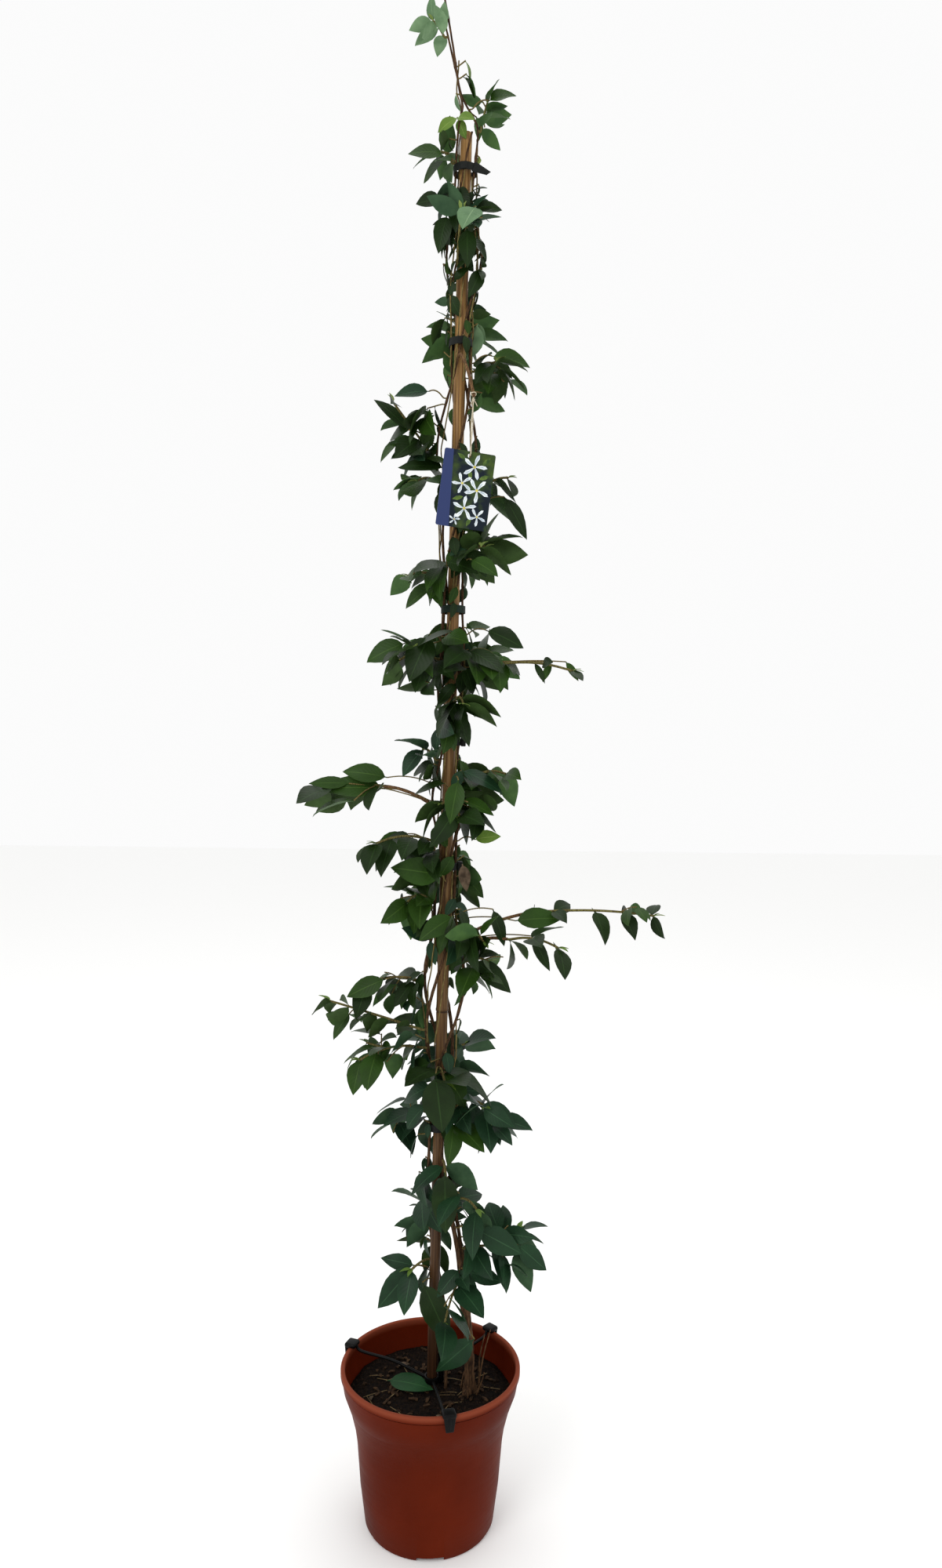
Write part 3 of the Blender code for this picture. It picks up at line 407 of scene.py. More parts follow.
def wallRadius(height, inside=True):
    # radius of the pot wall, outside or inside, at a height
    rings = potShape["outside"]
    thickness = potShape["wall"] if inside else 0
    for (lowRadius, low), (highRadius, high) in zip(rings, rings[1:]):
        if low <= height <= high:
            return blend(lowRadius, highRadius, (height - low) / (high - low)) - thickness
    return rings[-1][0] - thickness


def roundLip():
    # the rolled lip: up its outer face, over two corners and down its inner face
    outer, inner = potShape["lipRadius"], potShape["lipInside"]
    top, corner = potShape["lipTop"], potShape["lipRound"]
    low, edge = potShape["lipBottom"], potShape["lipEdge"]
    under = outer - potShape["undercut"]
    points = [(under, low - 3 * edge), (under, low - edge), (outer - edge, low - 0.5 * edge),
              (outer, low + edge)]
    turns = [pi / 2 * step / potShape["cornerSteps"] for step in range(potShape["cornerSteps"] + 1)]
    for turn in turns:
        points.append((outer - corner * (1 - cos(turn)), top - corner * (1 - sin(turn))))
    for turn in reversed(turns[:-1]):
        points.append((inner + corner * (1 - cos(turn)), top - corner * (1 - sin(turn))))
    return points


def makePot():
    shape = potShape
    rings = []
    for radius, height in shape["outside"]:
        rings.append((radius, height))
        if height == shape["ringHeight"]:
            rings.append((radius + shape["ringStep"], height + shape["ringRise"]))
    profile = rings + roundLip()
    inside = [(wallRadius(height), height) for radius, height in reversed(shape["outside"])
              if height > shape["floor"]]
    profile += [(min(radius, shape["lipInside"]), height) for radius, height in inside]
    profile.append((wallRadius(shape["floor"]), shape["floor"]))
    pot = drawRings("nurseryPot", profile, shape["segments"])
    foot = Matrix.Translation((shape["outside"][1][0], 0, 0))
    for turn in shape["notchTurns"]:
        spot = Matrix.Rotation(radians(turn), 4, "Z") @ foot
        notch = drawBox("notchCutter", shape["notchSize"], shape["notchRound"], spot)
        applyModifier(pot, "BOOLEAN", {"operation": "DIFFERENCE", "solver": "EXACT", "object": notch})
        bpy.data.objects.remove(notch)
    smoothByAngle(pot, 32)
    # the lip's paler band: painted highlight along its top, and rubbed wear
    wearAndHighlight = pot.data.attributes.new("wearAndHighlight", "FLOAT", "POINT")
    for vertex in pot.data.vertices:
        wearAndHighlight.data[vertex.index].value = ease((vertex.co.z - shape["lipBottom"]) / shape["wearAndHighlightHeight"])
    settle(pot, [potPlastic()], ["pot"])
    print("pot made")


# soil and what lies on it
soilShape = {
    "level": 0.163, "edgeDrop": 0.004, "edgeStart": 0.088, "edgeWidth": 0.012,
    "lump": 0.0021, "lumpSize": 0.018, "wallGap": 0.0006, "floorGap": 0.0003, "profileGap": (0.005, 0.003),
    "segments": 120, "rings": 26,
    # dry stubs round the foot of the trunk: bearing and distance from it, height, lean
    "stubs": ((20, 0.012, 0.075, 0.016), (75, 0.016, 0.058, -0.01), (140, 0.013, 0.046, -0.014),
              (-35, 0.011, 0.034, 0.012), (-95, 0.014, 0.022, 0.01), (50, 0.02, 0.06, 0.01)),
    "stubRadii": (0.0013, 0.0006), "stubBend": 0.06, "stubSunk": 0.002,
}


def soilHeight(x, y):
    drop = soilShape["edgeDrop"] * ease((hypot(x, y) - soilShape["edgeStart"]) / soilShape["edgeWidth"])
    lump = noise.fractal(Vector((x, y, 0.3)) / soilShape["lumpSize"], 1, 2, 4)
    return soilShape["level"] - drop + soilShape["lump"] * lump


def makeSoil():
    # a turned plug that fills the pot, its top face raised into lumps
    shape = soilShape
    floor = potShape["floor"] + shape["floorGap"]
    edge = shape["level"] - shape["edgeDrop"]
    profile = [(wallRadius(floor) - shape["wallGap"], floor)]
    above, below = shape["profileGap"]
    for radius, height in potShape["outside"]:
        if floor + above < height < edge - below:
            profile.append((radius - potShape["wall"] - shape["wallGap"], height))
    rim = wallRadius(edge) - shape["wallGap"]
    for step in range(shape["rings"]):
        profile.append((rim * (1 - step / shape["rings"]), edge))
    soil = drawRings("compostTop", profile, shape["segments"])
    for vertex in soil.data.vertices:
        if vertex.co.z > edge - 0.5 * mm:
            vertex.co.z = soilHeight(vertex.co.x, vertex.co.y)
    makeActive(soil)
    bpy.ops.object.shade_smooth()
    settle(soil, [compost()], ["soil"])


def scatterSpot(dice, clear):
    # a spot on the soil, no nearer to the wall than clear
    reach = wallRadius(soilShape["level"]) - clear
    radius = reach * sqrt(dice.random())
    spot = heading(dice.uniform(0, 360)) * radius
    return Vector((spot.x, spot.y, soilHeight(spot.x, spot.y)))


def joinedMesh(name, shapes, finishes):
    # one mesh from many shapes: points, faces and each face's material
    points, faces, slots = [], [], []
    for spots, polygons, marks in shapes:
        base = len(points)
        points += [tuple(spot) for spot in spots]
        faces += [tuple(base + i for i in polygon) for polygon in polygons]
        slots += marks
    mesh = bpy.data.meshes.new(name)
    mesh.from_pydata(points, [], faces)
    mesh.polygons.foreach_set("material_index", slots)
    mesh.update()
    piece = bpy.data.objects.new(name, mesh)
    bpy.context.scene.collection.objects.link(piece)
    for finish in finishes:
        mesh.materials.append(finish)
    return piece


def crumbShape(spot, size, dice):
    # an irregular eight-faced crumb
    corners = [Vector((1, 0, 0)), Vector((0, 1, 0)), Vector((-1, 0, 0)), Vector((0, -1, 0)),
               Vector((0, 0, 1)), Vector((0, 0, -1))]
    spin = Matrix.Rotation(dice.uniform(0, fullTurn), 3, "Z")
    turn = spin @ Matrix.Rotation(dice.uniform(0, 3), 3, "X")
    spots = [spot + turn @ (corner * size * dice.uniform(*litterShape["uneven"])) for corner in corners]
    faces = [(i, (i + 1) % 4, 4) for i in range(4)] + [((i + 1) % 4, i, 5) for i in range(4)]
    return spots, faces, [0] * len(faces)


def stickShape(start, end, width, thick, lift):
    # a flat split straw or chip with a bend in the middle
    along = (end - start).normalized()
    side = along.cross(up).normalized() * width
    tall = up * thick
    middle = (start + end) / 2 + up * lift
    spots = []
    for place, wide in ((start, 0.7), (middle, 1), (end, 0.5)):
        left, right = place - side * wide, place + side * wide
        spots += [left, right, right + tall, left + tall]
    faces = [(0, 3, 2, 1), (8, 9, 10, 11)]
    for base in (0, 4):
        for i in range(4):
            j = (i + 1) % 4
            faces.append((base + i, base + j, base + j + 4, base + i + 4))
    return spots, faces, [0] * len(faces)


litterShape = {
    "seed": 41, "crumbs": 1200, "crumbSize": (0.001, 0.0036), "uneven": (0.55, 1.1),
    # piece, finish and its two colours, count, lengths, width and thickness
    "sticks": (
        ("straws", "paleStraw", "#6f5f42", "#493a27", 26, (0.008, 0.034), 0.0006, 0.0005),
        ("barkChips", "compostChip", "#1e140c", "#43301f", 90, (0.004, 0.012), 0.002, 0.0012),
    ),
    "crumbClear": 0.004, "stickClear": 0.016, "stickReach": 0.092,
    "startLift": 0.0006, "endLift": 0.001, "bend": (0, 0.0014),
}


def makeLitter():
    # loose crumbs, pale straws and bark chips on the compost
    shape = litterShape
    dice = random.Random(shape["seed"])
    crumbs = []
    for i in range(shape["crumbs"]):
        size = dice.uniform(*shape["crumbSize"]) * dice.uniform(0.5, 1)
        crumbs.append(crumbShape(scatterSpot(dice, shape["crumbClear"]), size, dice))
    piece = joinedMesh("compostCrumbs", crumbs, [])
    settle(piece, [dullSkin("compostCrumb", "#0d0906", "#2a1d13", 5.263 * mm, 0.95, 0.4 * mm)])
    for name, finishName, darkHex, lightHex, count, lengths, width, thick in shape["sticks"]:
        sticks = []
        for i in range(count):
            start = scatterSpot(dice, shape["stickClear"])
            end = start + heading(dice.uniform(0, 360)) * dice.uniform(*lengths)
            if hypot(end.x, end.y) < shape["stickReach"]:
                end.z = soilHeight(end.x, end.y)
                lowEnd, highEnd = start + up * shape["startLift"], end + up * shape["endLift"]
                sticks.append(stickShape(lowEnd, highEnd, width, thick, dice.uniform(*shape["bend"])))
        piece = joinedMesh(name, sticks, [])
        settle(piece, [dullSkin(finishName, darkHex, lightHex, 6.667 * mm, 0.85, 0.2 * mm)])


# cane, holder and ties
caneShape = {
    "bottom": 0.03, "top": 1.695, "foot": (-0.0015, 0.003), "lean": (0.0182, 0.0012),
    "radii": (0.0062, 0.0074, 0.007), "ring": 0.0008, "joints": (0.395, 0.64, 0.865, 1.09, 1.315, 1.54),
    # each joint: height from its middle, swell, and how dark the sheath's line is
    "jointSteps": ((-0.01, 0, 0), (-0.0038, 0.0002, 0.1), (-0.0022, -0.0002, 0.9), (-0.0012, 0.0007, 0.75),
                   (0.0008, 0.0008, 0.25), (0.003, 0.0003, 0.1), (0.01, 0, 0)),
    # the sawn ends: height from the end, swell and darkness
    "footSteps": ((0, -0.0004, 0), (0.0006, 0, 0)), "topSteps": ((-0.0008, 0, 0.2), (0, -0.0008, 0.9)),
}


def caneAt(height):
    return Vector((caneShape["foot"][0] + caneShape["lean"][0] * height,
                   caneShape["foot"][1] + caneShape["lean"][1] * height, height))


def caneRadius(height):
    foot, middle, top = caneShape["radii"]
    share = (height - caneShape["bottom"]) / (caneShape["top"] - caneShape["bottom"])
    return blend(foot, middle, 2 * share) if share < 0.5 else blend(middle, top, 2 * share - 1)


def makeCane():
    # each joint is a ridge, a groove under it, and the dark line of the fallen sheath
    rows = [(caneShape["bottom"] + rise, swell, mark) for rise, swell, mark in caneShape["footSteps"]]
    for joint in caneShape["joints"]:
        rows += [(joint + rise, swell, mark) for rise, swell, mark in caneShape["jointSteps"]]
    rows += [(caneShape["top"] + rise, swell, mark) for rise, swell, mark in caneShape["topSteps"]]
    path = [caneAt(height) for height, swell, mark in rows]
    radii = [caneRadius(height) + swell for height, swell, mark in rows]
    cane = sweepPaths("bambooCane", [(path, radii)], 12)
    layer = cane.data.attributes.new("ring", "FLOAT", "POINT")
    for vertex in cane.data.vertices:
        nearest = min(rows, key=lambda row: abs(row[0] - vertex.co.z))
        layer.data[vertex.index].value = nearest[2]
    smoothByAngle(cane, 50)
    settle(cane, [bambooSkin()], ["cane"])
    print("cane made")


holderShape = {
    "bar": 0.0019, "sleeve": 0.0034, "sleeveTop": 0.213, "sleeveDrop": 0.0045, "sleeveEnd": (0.0029, 0.001),
    "ringHeight": 0.008, "ringWall": 0.002, "ringRound": 0.0005, "ringSegments": 40,
    "level": 0.174, "clearance": 0.0009, "offset": 0.0019, "sunk": 0.0008,
    "knee": 0.096, "kneeRise": 0.004, "hookInside": 0.1035, "hookRadius": 0.1145,
    "hookTop": 0.1974, "hookDrop": 0.0005, "hookEnd": 0.183, "hookFlare": 0.0004,
    "arms": ((159.3, 0.186), (46.1, 0.186), (-76.7, 0.178)), "armSteps": 5,
    "cap": (0.015, 0.0165, 0.0062), "capRound": 0.0026,
    "flap": (0.003, 0.015, 0.019), "flapRound": 0.0012, "flapTaper": 0.62, "flapPlace": (0.0002, 0.0055),
}


def makeRing(name, centre, inner, wall, height, bevel, segments):
    # a circle given a wall, a height and soft edges
    bpy.ops.object.select_all(action="DESELECT")
    bpy.ops.mesh.primitive_circle_add(vertices=segments, radius=inner, fill_type="NOTHING",
                                      location=(0, 0, -height / 2))
    ring = bpy.context.object
    ring.name = name
    bpy.ops.object.transform_apply(location=True, rotation=True, scale=True)
    bpy.ops.object.mode_set(mode="EDIT")
    bpy.ops.mesh.select_all(action="SELECT")
    bpy.ops.mesh.extrude_region_move(TRANSFORM_OT_translate={"value": (0, 0, height)})
    bpy.ops.mesh.select_all(action="SELECT")
    bpy.ops.mesh.normals_make_consistent(inside=False)
    bpy.ops.object.mode_set(mode="OBJECT")
    applyModifier(ring, "SOLIDIFY", {"thickness": wall, "offset": 1})
    applyModifier(ring, "BEVEL", {"width": bevel, "segments": 2, "limit_method": "ANGLE"})
    ring.data.transform(Matrix.Translation(centre))
    smoothByAngle(ring, 40)
    return ring


def softPath(points, steps):
    # the same corners with a rounded run between them
    path = []
    count = len(points)
    for i in range(count - 1):
        before, start = points[max(i - 1, 0)], points[i]
        end, after = points[i + 1], points[min(i + 2, count - 1)]
        for k in range(steps):
            t = k / steps
            path.append(0.5 * ((2 * start) + (end - before) * t
                        + (2 * before - 5 * start + 4 * end - after) * t * t
                        + (3 * start - before - 3 * end + after) * t * t * t))
    path.append(points[-1].copy())
    return path


def holderArm(bearing, level, start, ringOutside):
    # one rod from the ring out over the lip and down outside it
    shape = holderShape
    out = heading(bearing)
    foot = start + out * (ringOutside - shape["sunk"])
    knee = out * shape["knee"]
    middle = foot.lerp(knee, 0.5)
    over = up * (shape["hookTop"] - shape["hookDrop"])
    corners = [foot, Vector((middle.x, middle.y, level)), knee + up * (level + shape["kneeRise"]),
               out * shape["hookInside"] + over, out * shape["hookRadius"] + over,
               out * (shape["hookRadius"] + shape["hookFlare"]) + up * shape["hookEnd"]]
    path = softPath(corners, shape["armSteps"])
    return path, [shape["bar"]] * len(path)


def holderClip(bearing):
    # the cap over the lip and the tapered flap that hangs outside it
    shape = holderShape
    turn = Matrix.Rotation(radians(bearing), 4, "Z")
    overLip = Matrix.Translation(((shape["hookInside"] + shape["hookRadius"]) / 2, 0, shape["hookTop"]))
    cap = drawBox("holderCap", shape["cap"], shape["capRound"], turn @ overLip)
    flap = drawBox("holderFlap", shape["flap"], shape["flapRound"], Matrix.Identity(4))
    for vertex in flap.data.vertices:
        vertex.co.y *= blend(shape["flapTaper"], 1, vertex.co.z / shape["flap"][2] + 0.5)
    out, rise = shape["flapPlace"]
    flap.data.transform(turn @ Matrix.Translation((shape["hookRadius"] + out, 0, shape["hookEnd"] + rise)))
    return [cap, flap]


def makeHolder():
    shape = holderShape
    centre = caneAt(shape["level"])
    inner = caneRadius(shape["level"]) + shape["clearance"]
    outside = inner + shape["ringWall"]
    ring = [shape[name] for name in ("ringWall", "ringHeight", "ringRound", "ringSegments")]
    pieces = [makeRing("holderRing", centre, inner, *ring)]
    low = centre + Vector((outside + shape["offset"], 0, -shape["sleeveDrop"]))
    high = Vector((low.x, low.y, shape["sleeveTop"]))
    endRadius, endHeight = shape["sleeveEnd"]
    sweeps = [([low, low + up * endHeight, high - up * endHeight, high],
               [endRadius, shape["sleeve"], shape["sleeve"], endRadius])]
    for bearing, level in shape["arms"]:
        sweeps.append(holderArm(bearing, level, centre, outside))
        pieces += holderClip(bearing)
    pieces.append(sweepPaths("holderRods", sweeps, 4))
    holder = joinPieces(pieces, "caneHolder")
    smoothByAngle(holder, 45)
    settle(holder, [blackPlastic()], ["holder"])
    print("holder made")


# climbing stems, by the same rule as the solids
gap = 0.0003            # between a stem's foot and what it stands on
limbGap = 0.00035       # between a twig's foot and its host
testMargin = 0.00015    # added to a limb when its clearance is tested
push = 0.0002           # how far a foot moves out on each further try
limbLead = 0.004       # the straight start of a limb
stemShape = {
    "join": 0.48, "pitch": 0.43, "clearance": 0.001, "endClearance": 0.008, "step": 0.045,
    "forkSpread": 0.0032, "forkTurn": -90, "shortestBulge": 0.05, "fullBulge": 0.3,
    "leaderStart": 1.699, "leaderClosing": 0.045, "leaderTie": 1.78,
    "leaderLean": (-0.215, 0.03, 0), "leaderRadius": 0.003, "fineStep": 0.006,
    "scar": 0.00035, "scarEvery": 9, "scarAt": 4, "sunk": 0.0025,   # a leaf scar every nine fine steps
    # name, foot x and y (None: starts on the fork), phase, bulge, top, foot and top radius
    "rows": (
        ("stem_front", None, -70, 0.006, 1.86, 0.0024, 0.0012),
        ("stem_right", None, 5, 0.012, 1.69, 0.0023, 0.0012),
        ("stem_back", None, 80, 0.009, 1.835, 0.0022, 0.0011),
        ("stem_left", (0.0189, 0.0012), 185, 0.016, 1.635, 0.002, 0.0012),
    ),
}
tieShape = {
    "heights": (0.495, 0.818, 0.97, 1.13, 1.448, 1.651), "band": 0.009, "wall": 0.001,
    "round": 0.0003, "clearance": 0.0004, "segments": 56, "green": (3,),
    "clipTies": (1, 2), "clip": (0.006, 0.013, 0.011), "clipRound": 0.001, "clipOut": 0.002,
    "tongue": (0.0012, 0.0165, 0.007), "tongueOut": 0.0022,
    "lap": (0.0012, 0.0085, 0.0086), "lapRound": 0.0004, "lapOut": 0.0003, "lapTurn": -52, "lapStep": -9,
    "tail": (0.02, 0.0014, 0.012), "tailRound": 0.0005, "tailPlace": (0.0188, -0.0108, -0.004),
    "tailTurn": 24, "droopStart": 0.012, "droopLength": 0.016, "droopLevel": 0.0075, "droopShare": 0.7,
}
trunkShape = {
    "foot": (0.048, -0.0045), "fork": (0.0385, -0.002, 0.292), "flare": 0.0098, "radius": 0.0056,
    "bow": 0.004, "flarePower": 9, "forkSwell": 0.0006, "forkStart": 0.6, "sunk": 0.002, "steps": 60,
    "buttress": 0.26, "buttresses": 3, "buttressPower": 8,
    "ridges": ((0.055, 9, 26), (0.035, 17, -40)),   # depth, count round the trunk, turn as they climb
}


def stemRadius(row, height):
    share = (height - soilShape["level"]) / (row[4] - soilShape["level"])
    return blend(row[5], row[6], min(max(share, 0), 1))


def stemDistance(row, height):
    close = caneShape["radii"][1] + caneShape["ring"] + row[5] + stemShape["clearance"]
    marks = (stemShape["join"],) + tieShape["heights"] + (stemShape["leaderTie"],)
    for low, high in zip(marks, marks[1:]):
        if low <= height <= high and high - low > stemShape["shortestBulge"]:
            swell = sin(pi * (height - low) / (high - low)) ** 2
            return close + row[3] * swell * min(1, (high - low) / stemShape["fullBulge"])
    return close


def stemSpot(row, height):
    turned = max(height - stemShape["join"], 0) / stemShape["pitch"]
    spoke = heading(row[2] + 360 * turned)
    over = max(height - stemShape["leaderStart"], 0)
    closing = ease(over / stemShape["leaderClosing"])
    distance = blend(stemDistance(row, height), stemShape["leaderRadius"], closing)
    return caneAt(height) + spoke * distance + Vector(stemShape["leaderLean"]) * (over * closing)


def aroundCane(row, start, height, share):
    away = start - caneAt(start.z)
    angle = blend(atan2(away.y, away.x), radians(row[2]), share)
    distance = blend(hypot(away.x, away.y), stemDistance(row, height), share)
    return caneAt(height) + Vector((cos(angle), sin(angle), 0)) * distance


def stemPath(row, step):
    if row[1] is None:
        place = [stem[0] for stem in stemShape["rows"] if stem[1] is None].index(row[0])
        spread = heading(stemShape["forkTurn"] + 120 * place) * stemShape["forkSpread"]
        start = Vector(trunkShape["fork"]) + spread + up * gap
    else:
        start = Vector((row[1][0], row[1][1], soilShape["level"] + gap))
    join = stemShape["join"]
    count = max(3, round((join - start.z) / step))
    path = []
    for i in range(count):
        share = i / count
        height = blend(start.z, join, share)
        if row[1] is None:
            spot = start.lerp(stemSpot(row, height), ease(share))
        else:
            spot = aroundCane(row, start, height, ease(share))
        spot.z = height
        path.append(spot)
    steps = round((row[4] - join) / step)
    for i in range(steps + 1):
        path.append(stemSpot(row, blend(join, row[4], i / steps)))
    return path


stemPaths = {row[0]: stemPath(row, stemShape["step"]) for row in stemShape["rows"]}


def spotOn(path, height):
    for low, high in zip(path, path[1:]):
        if low.z <= height <= high.z:
            return low.lerp(high, (height - low.z) / (high.z - low.z))
    return path[-1].copy()


def nearestStem(height, bearing):
    out = heading(bearing)
    clear = stemShape["endClearance"]
    standing = []
    for row in stemShape["rows"]:
        if stemPaths[row[0]][0].z + clear < height < row[4] - clear:
            standing.append(row)
    return max(standing, key=lambda row: (spotOn(stemPaths[row[0]], height) - caneAt(height)).dot(out))


def footOnStem(height, bearing, away):
    host = nearestStem(height, bearing)
    distance = stemRadius(host, height) + limbGap + away
    return spotOn(stemPaths[host[0]], height) + heading(bearing) * distance


def limbPath(start, bearing, reach, rise, arch, bend, steps):
    out = heading(bearing)
    aside = up.cross(out)
    path = [start]
    lead = start + out * min(limbLead, 0.2 * reach)
    for i in range(steps + 1):
        share = i / steps
        spot = lead + out * (reach * share) + aside * (bend * share * share)
        path.append(spot + up * (rise * share + arch * 4 * share * (1 - share)))
    return path


def sunk(path, depth):
    # the same limb with its foot let into its host
    first = path[0] - (path[1] - path[0]).normalized() * depth
    return [first] + path


def makeStems():
    shape = stemShape
    stems = []
    for row in shape["rows"]:
        path = stemPath(row, shape["fineStep"])
        radii = []
        for i, spot in enumerate(path):
            scar = shape["scar"] if i % shape["scarEvery"] == shape["scarAt"] else 0
            radii.append(stemRadius(row, spot.z) + scar)
        stems.append(([path[0] - up * shape["sunk"]] + path, [radii[0]] + radii))
    piece = sweepPaths("climbingStems", stems, 3)
    roughen(piece, 0.00028, 0.004, 3)
    skin = barkSkin("youngBrownBark", "#21150e", "#58402a", 1.6 * mm, 0.5 * mm)
    settle(piece, [skin], [row[0] for row in shape["rows"]])
    print("stems made")


def trunkMiddle(foot, share):
    spot = foot.lerp(Vector(trunkShape["fork"]), share)
    spot.x += trunkShape["bow"] * sin(pi * share)
    return spot


def makeTrunk():
    # flared and ribbed at the foot, with long ridges in the bark
    shape = trunkShape
    foot = Vector((*shape["foot"], soilShape["level"] - shape["sunk"]))
    path, radii = [], []
    for i in range(shape["steps"] + 1):
        share = i / shape["steps"]
        path.append(trunkMiddle(foot, share))
        flare = (shape["flare"] - shape["radius"]) * (1 - share) ** shape["flarePower"]
        swell = shape["forkSwell"] * ease((share - shape["forkStart"]) / (1 - shape["forkStart"]))
        radii.append(shape["radius"] + flare + swell)
    trunk = sweepPaths("barkTrunk", [(path, radii)], 14)
    for vertex in trunk.data.vertices:
        share = min(max((vertex.co.z - foot.z) / (shape["fork"][2] - foot.z), 0), 1)
        away = vertex.co - trunkMiddle(foot, share)
        away.z = 0
        turn = atan2(away.y, away.x)
        swell = shape["buttress"] * cos(shape["buttresses"] * turn)
        swell *= (1 - share) ** shape["buttressPower"]
        ridge = sum(depth * sin(count * turn + climb * share) for depth, count, climb in shape["ridges"])
        vertex.co += away * (swell + ridge)
    roughen(trunk, 0.0007, 0.006, 8)
    bark = barkSkin("fissuredTrunkBark", "#21150e", "#5f4630", 2.6 * mm, 1.2 * mm)
    settle(trunk, [bark], ["trunk"])
    print("trunk made")


boughShape = {
    # name, height, bearing, reach, rise, arch, foot and tip radius
    "rows": (
        ("bough_right_low", 0.729, 3, 0.085, 0.03, 0.004, 0.002, 0.0017),
        ("bough_right_lower", 0.72, -26, 0.058, 0.012, 0.004, 0.002, 0.0017),
        ("bough_left_middle", 0.895, 184, 0.055, 0.02, 0.004, 0.002, 0.0017),
        ("bough_label", 1.43, -60, 0.033, -0.058, 0.008, 0.0019, 0.0015),
    ),
    "steps": 4, "tries": 12,
}


def tieReach(height):
    reach = 0
    for row in stemShape["rows"]:
        for level in (height - tieShape["band"] / 2, height, height + tieShape["band"] / 2):
            if level < row[4]:
                away = spotOn(stemPaths[row[0]], level) - caneAt(level)
                reach = max(reach, hypot(away.x, away.y) + stemRadius(row, level))
    return reach


def tieFastening(i, centre, outer):
    # a clip with its tongue, or the band's own lapped end
    shape = tieShape
    if i in shape["clipTies"]:
        clip = Matrix.Translation(centre + Vector((outer + shape["clipOut"], 0, 0)))
        tongue = Matrix.Translation(centre + Vector((outer + shape["tongueOut"], 0, 0)))
        return [drawBox("tieClip", shape["clip"], shape["clipRound"], clip),
                drawBox("tieTongue", shape["tongue"], shape["lapRound"], tongue)]
    turn = Matrix.Rotation(radians(shape["lapTurn"] + shape["lapStep"] * i), 4, "Z")
    lap = turn @ Matrix.Translation((outer + shape["lapOut"], 0, 0))
    return [drawBox("tieLap", shape["lap"], shape["lapRound"], Matrix.Translation(centre) @ lap)]


def tieTail(centre):
    # the loose end of the top tie, which droops towards its tip
    shape = tieShape
    turn = Matrix.Rotation(radians(shape["tailTurn"]), 4, "Y")
    place = Matrix.Translation(centre + Vector(shape["tailPlace"])) @ turn
    tail = drawBox("tieTail", shape["tail"], shape["tailRound"], place)
    for vertex in tail.data.vertices:
        far = ease((vertex.co.x - centre.x - shape["droopStart"]) / shape["droopLength"])
        vertex.co.z = blend(vertex.co.z, centre.z - shape["droopLevel"], shape["droopShare"] * far)
    return tail


def makeTies():
    shape = tieShape
    black = softTie("softBlackTie", "#090b09", "#101410")
    green = softTie("softGreenTie", "#0e1c14", "#172a20")
    last = len(shape["heights"]) - 1
    for i, height in enumerate(shape["heights"]):
        inner = tieReach(height) + shape["clearance"]
        centre = caneAt(height)
        pieces = [makeRing("tieBand", centre, inner, shape["wall"], shape["band"], shape["round"],
                           shape["segments"])]
        pieces += tieFastening(i, centre, inner + shape["wall"])
        if i == last:
            pieces.append(tieTail(centre))
        tie = joinPieces(pieces, "plantTie%d" % (i + 1))
        smoothByAngle(tie, 40)
        settle(tie, [green if i in shape["green"] else black], ["tie_%d" % (i + 1)])
    print("ties made:", len(shape["heights"]))


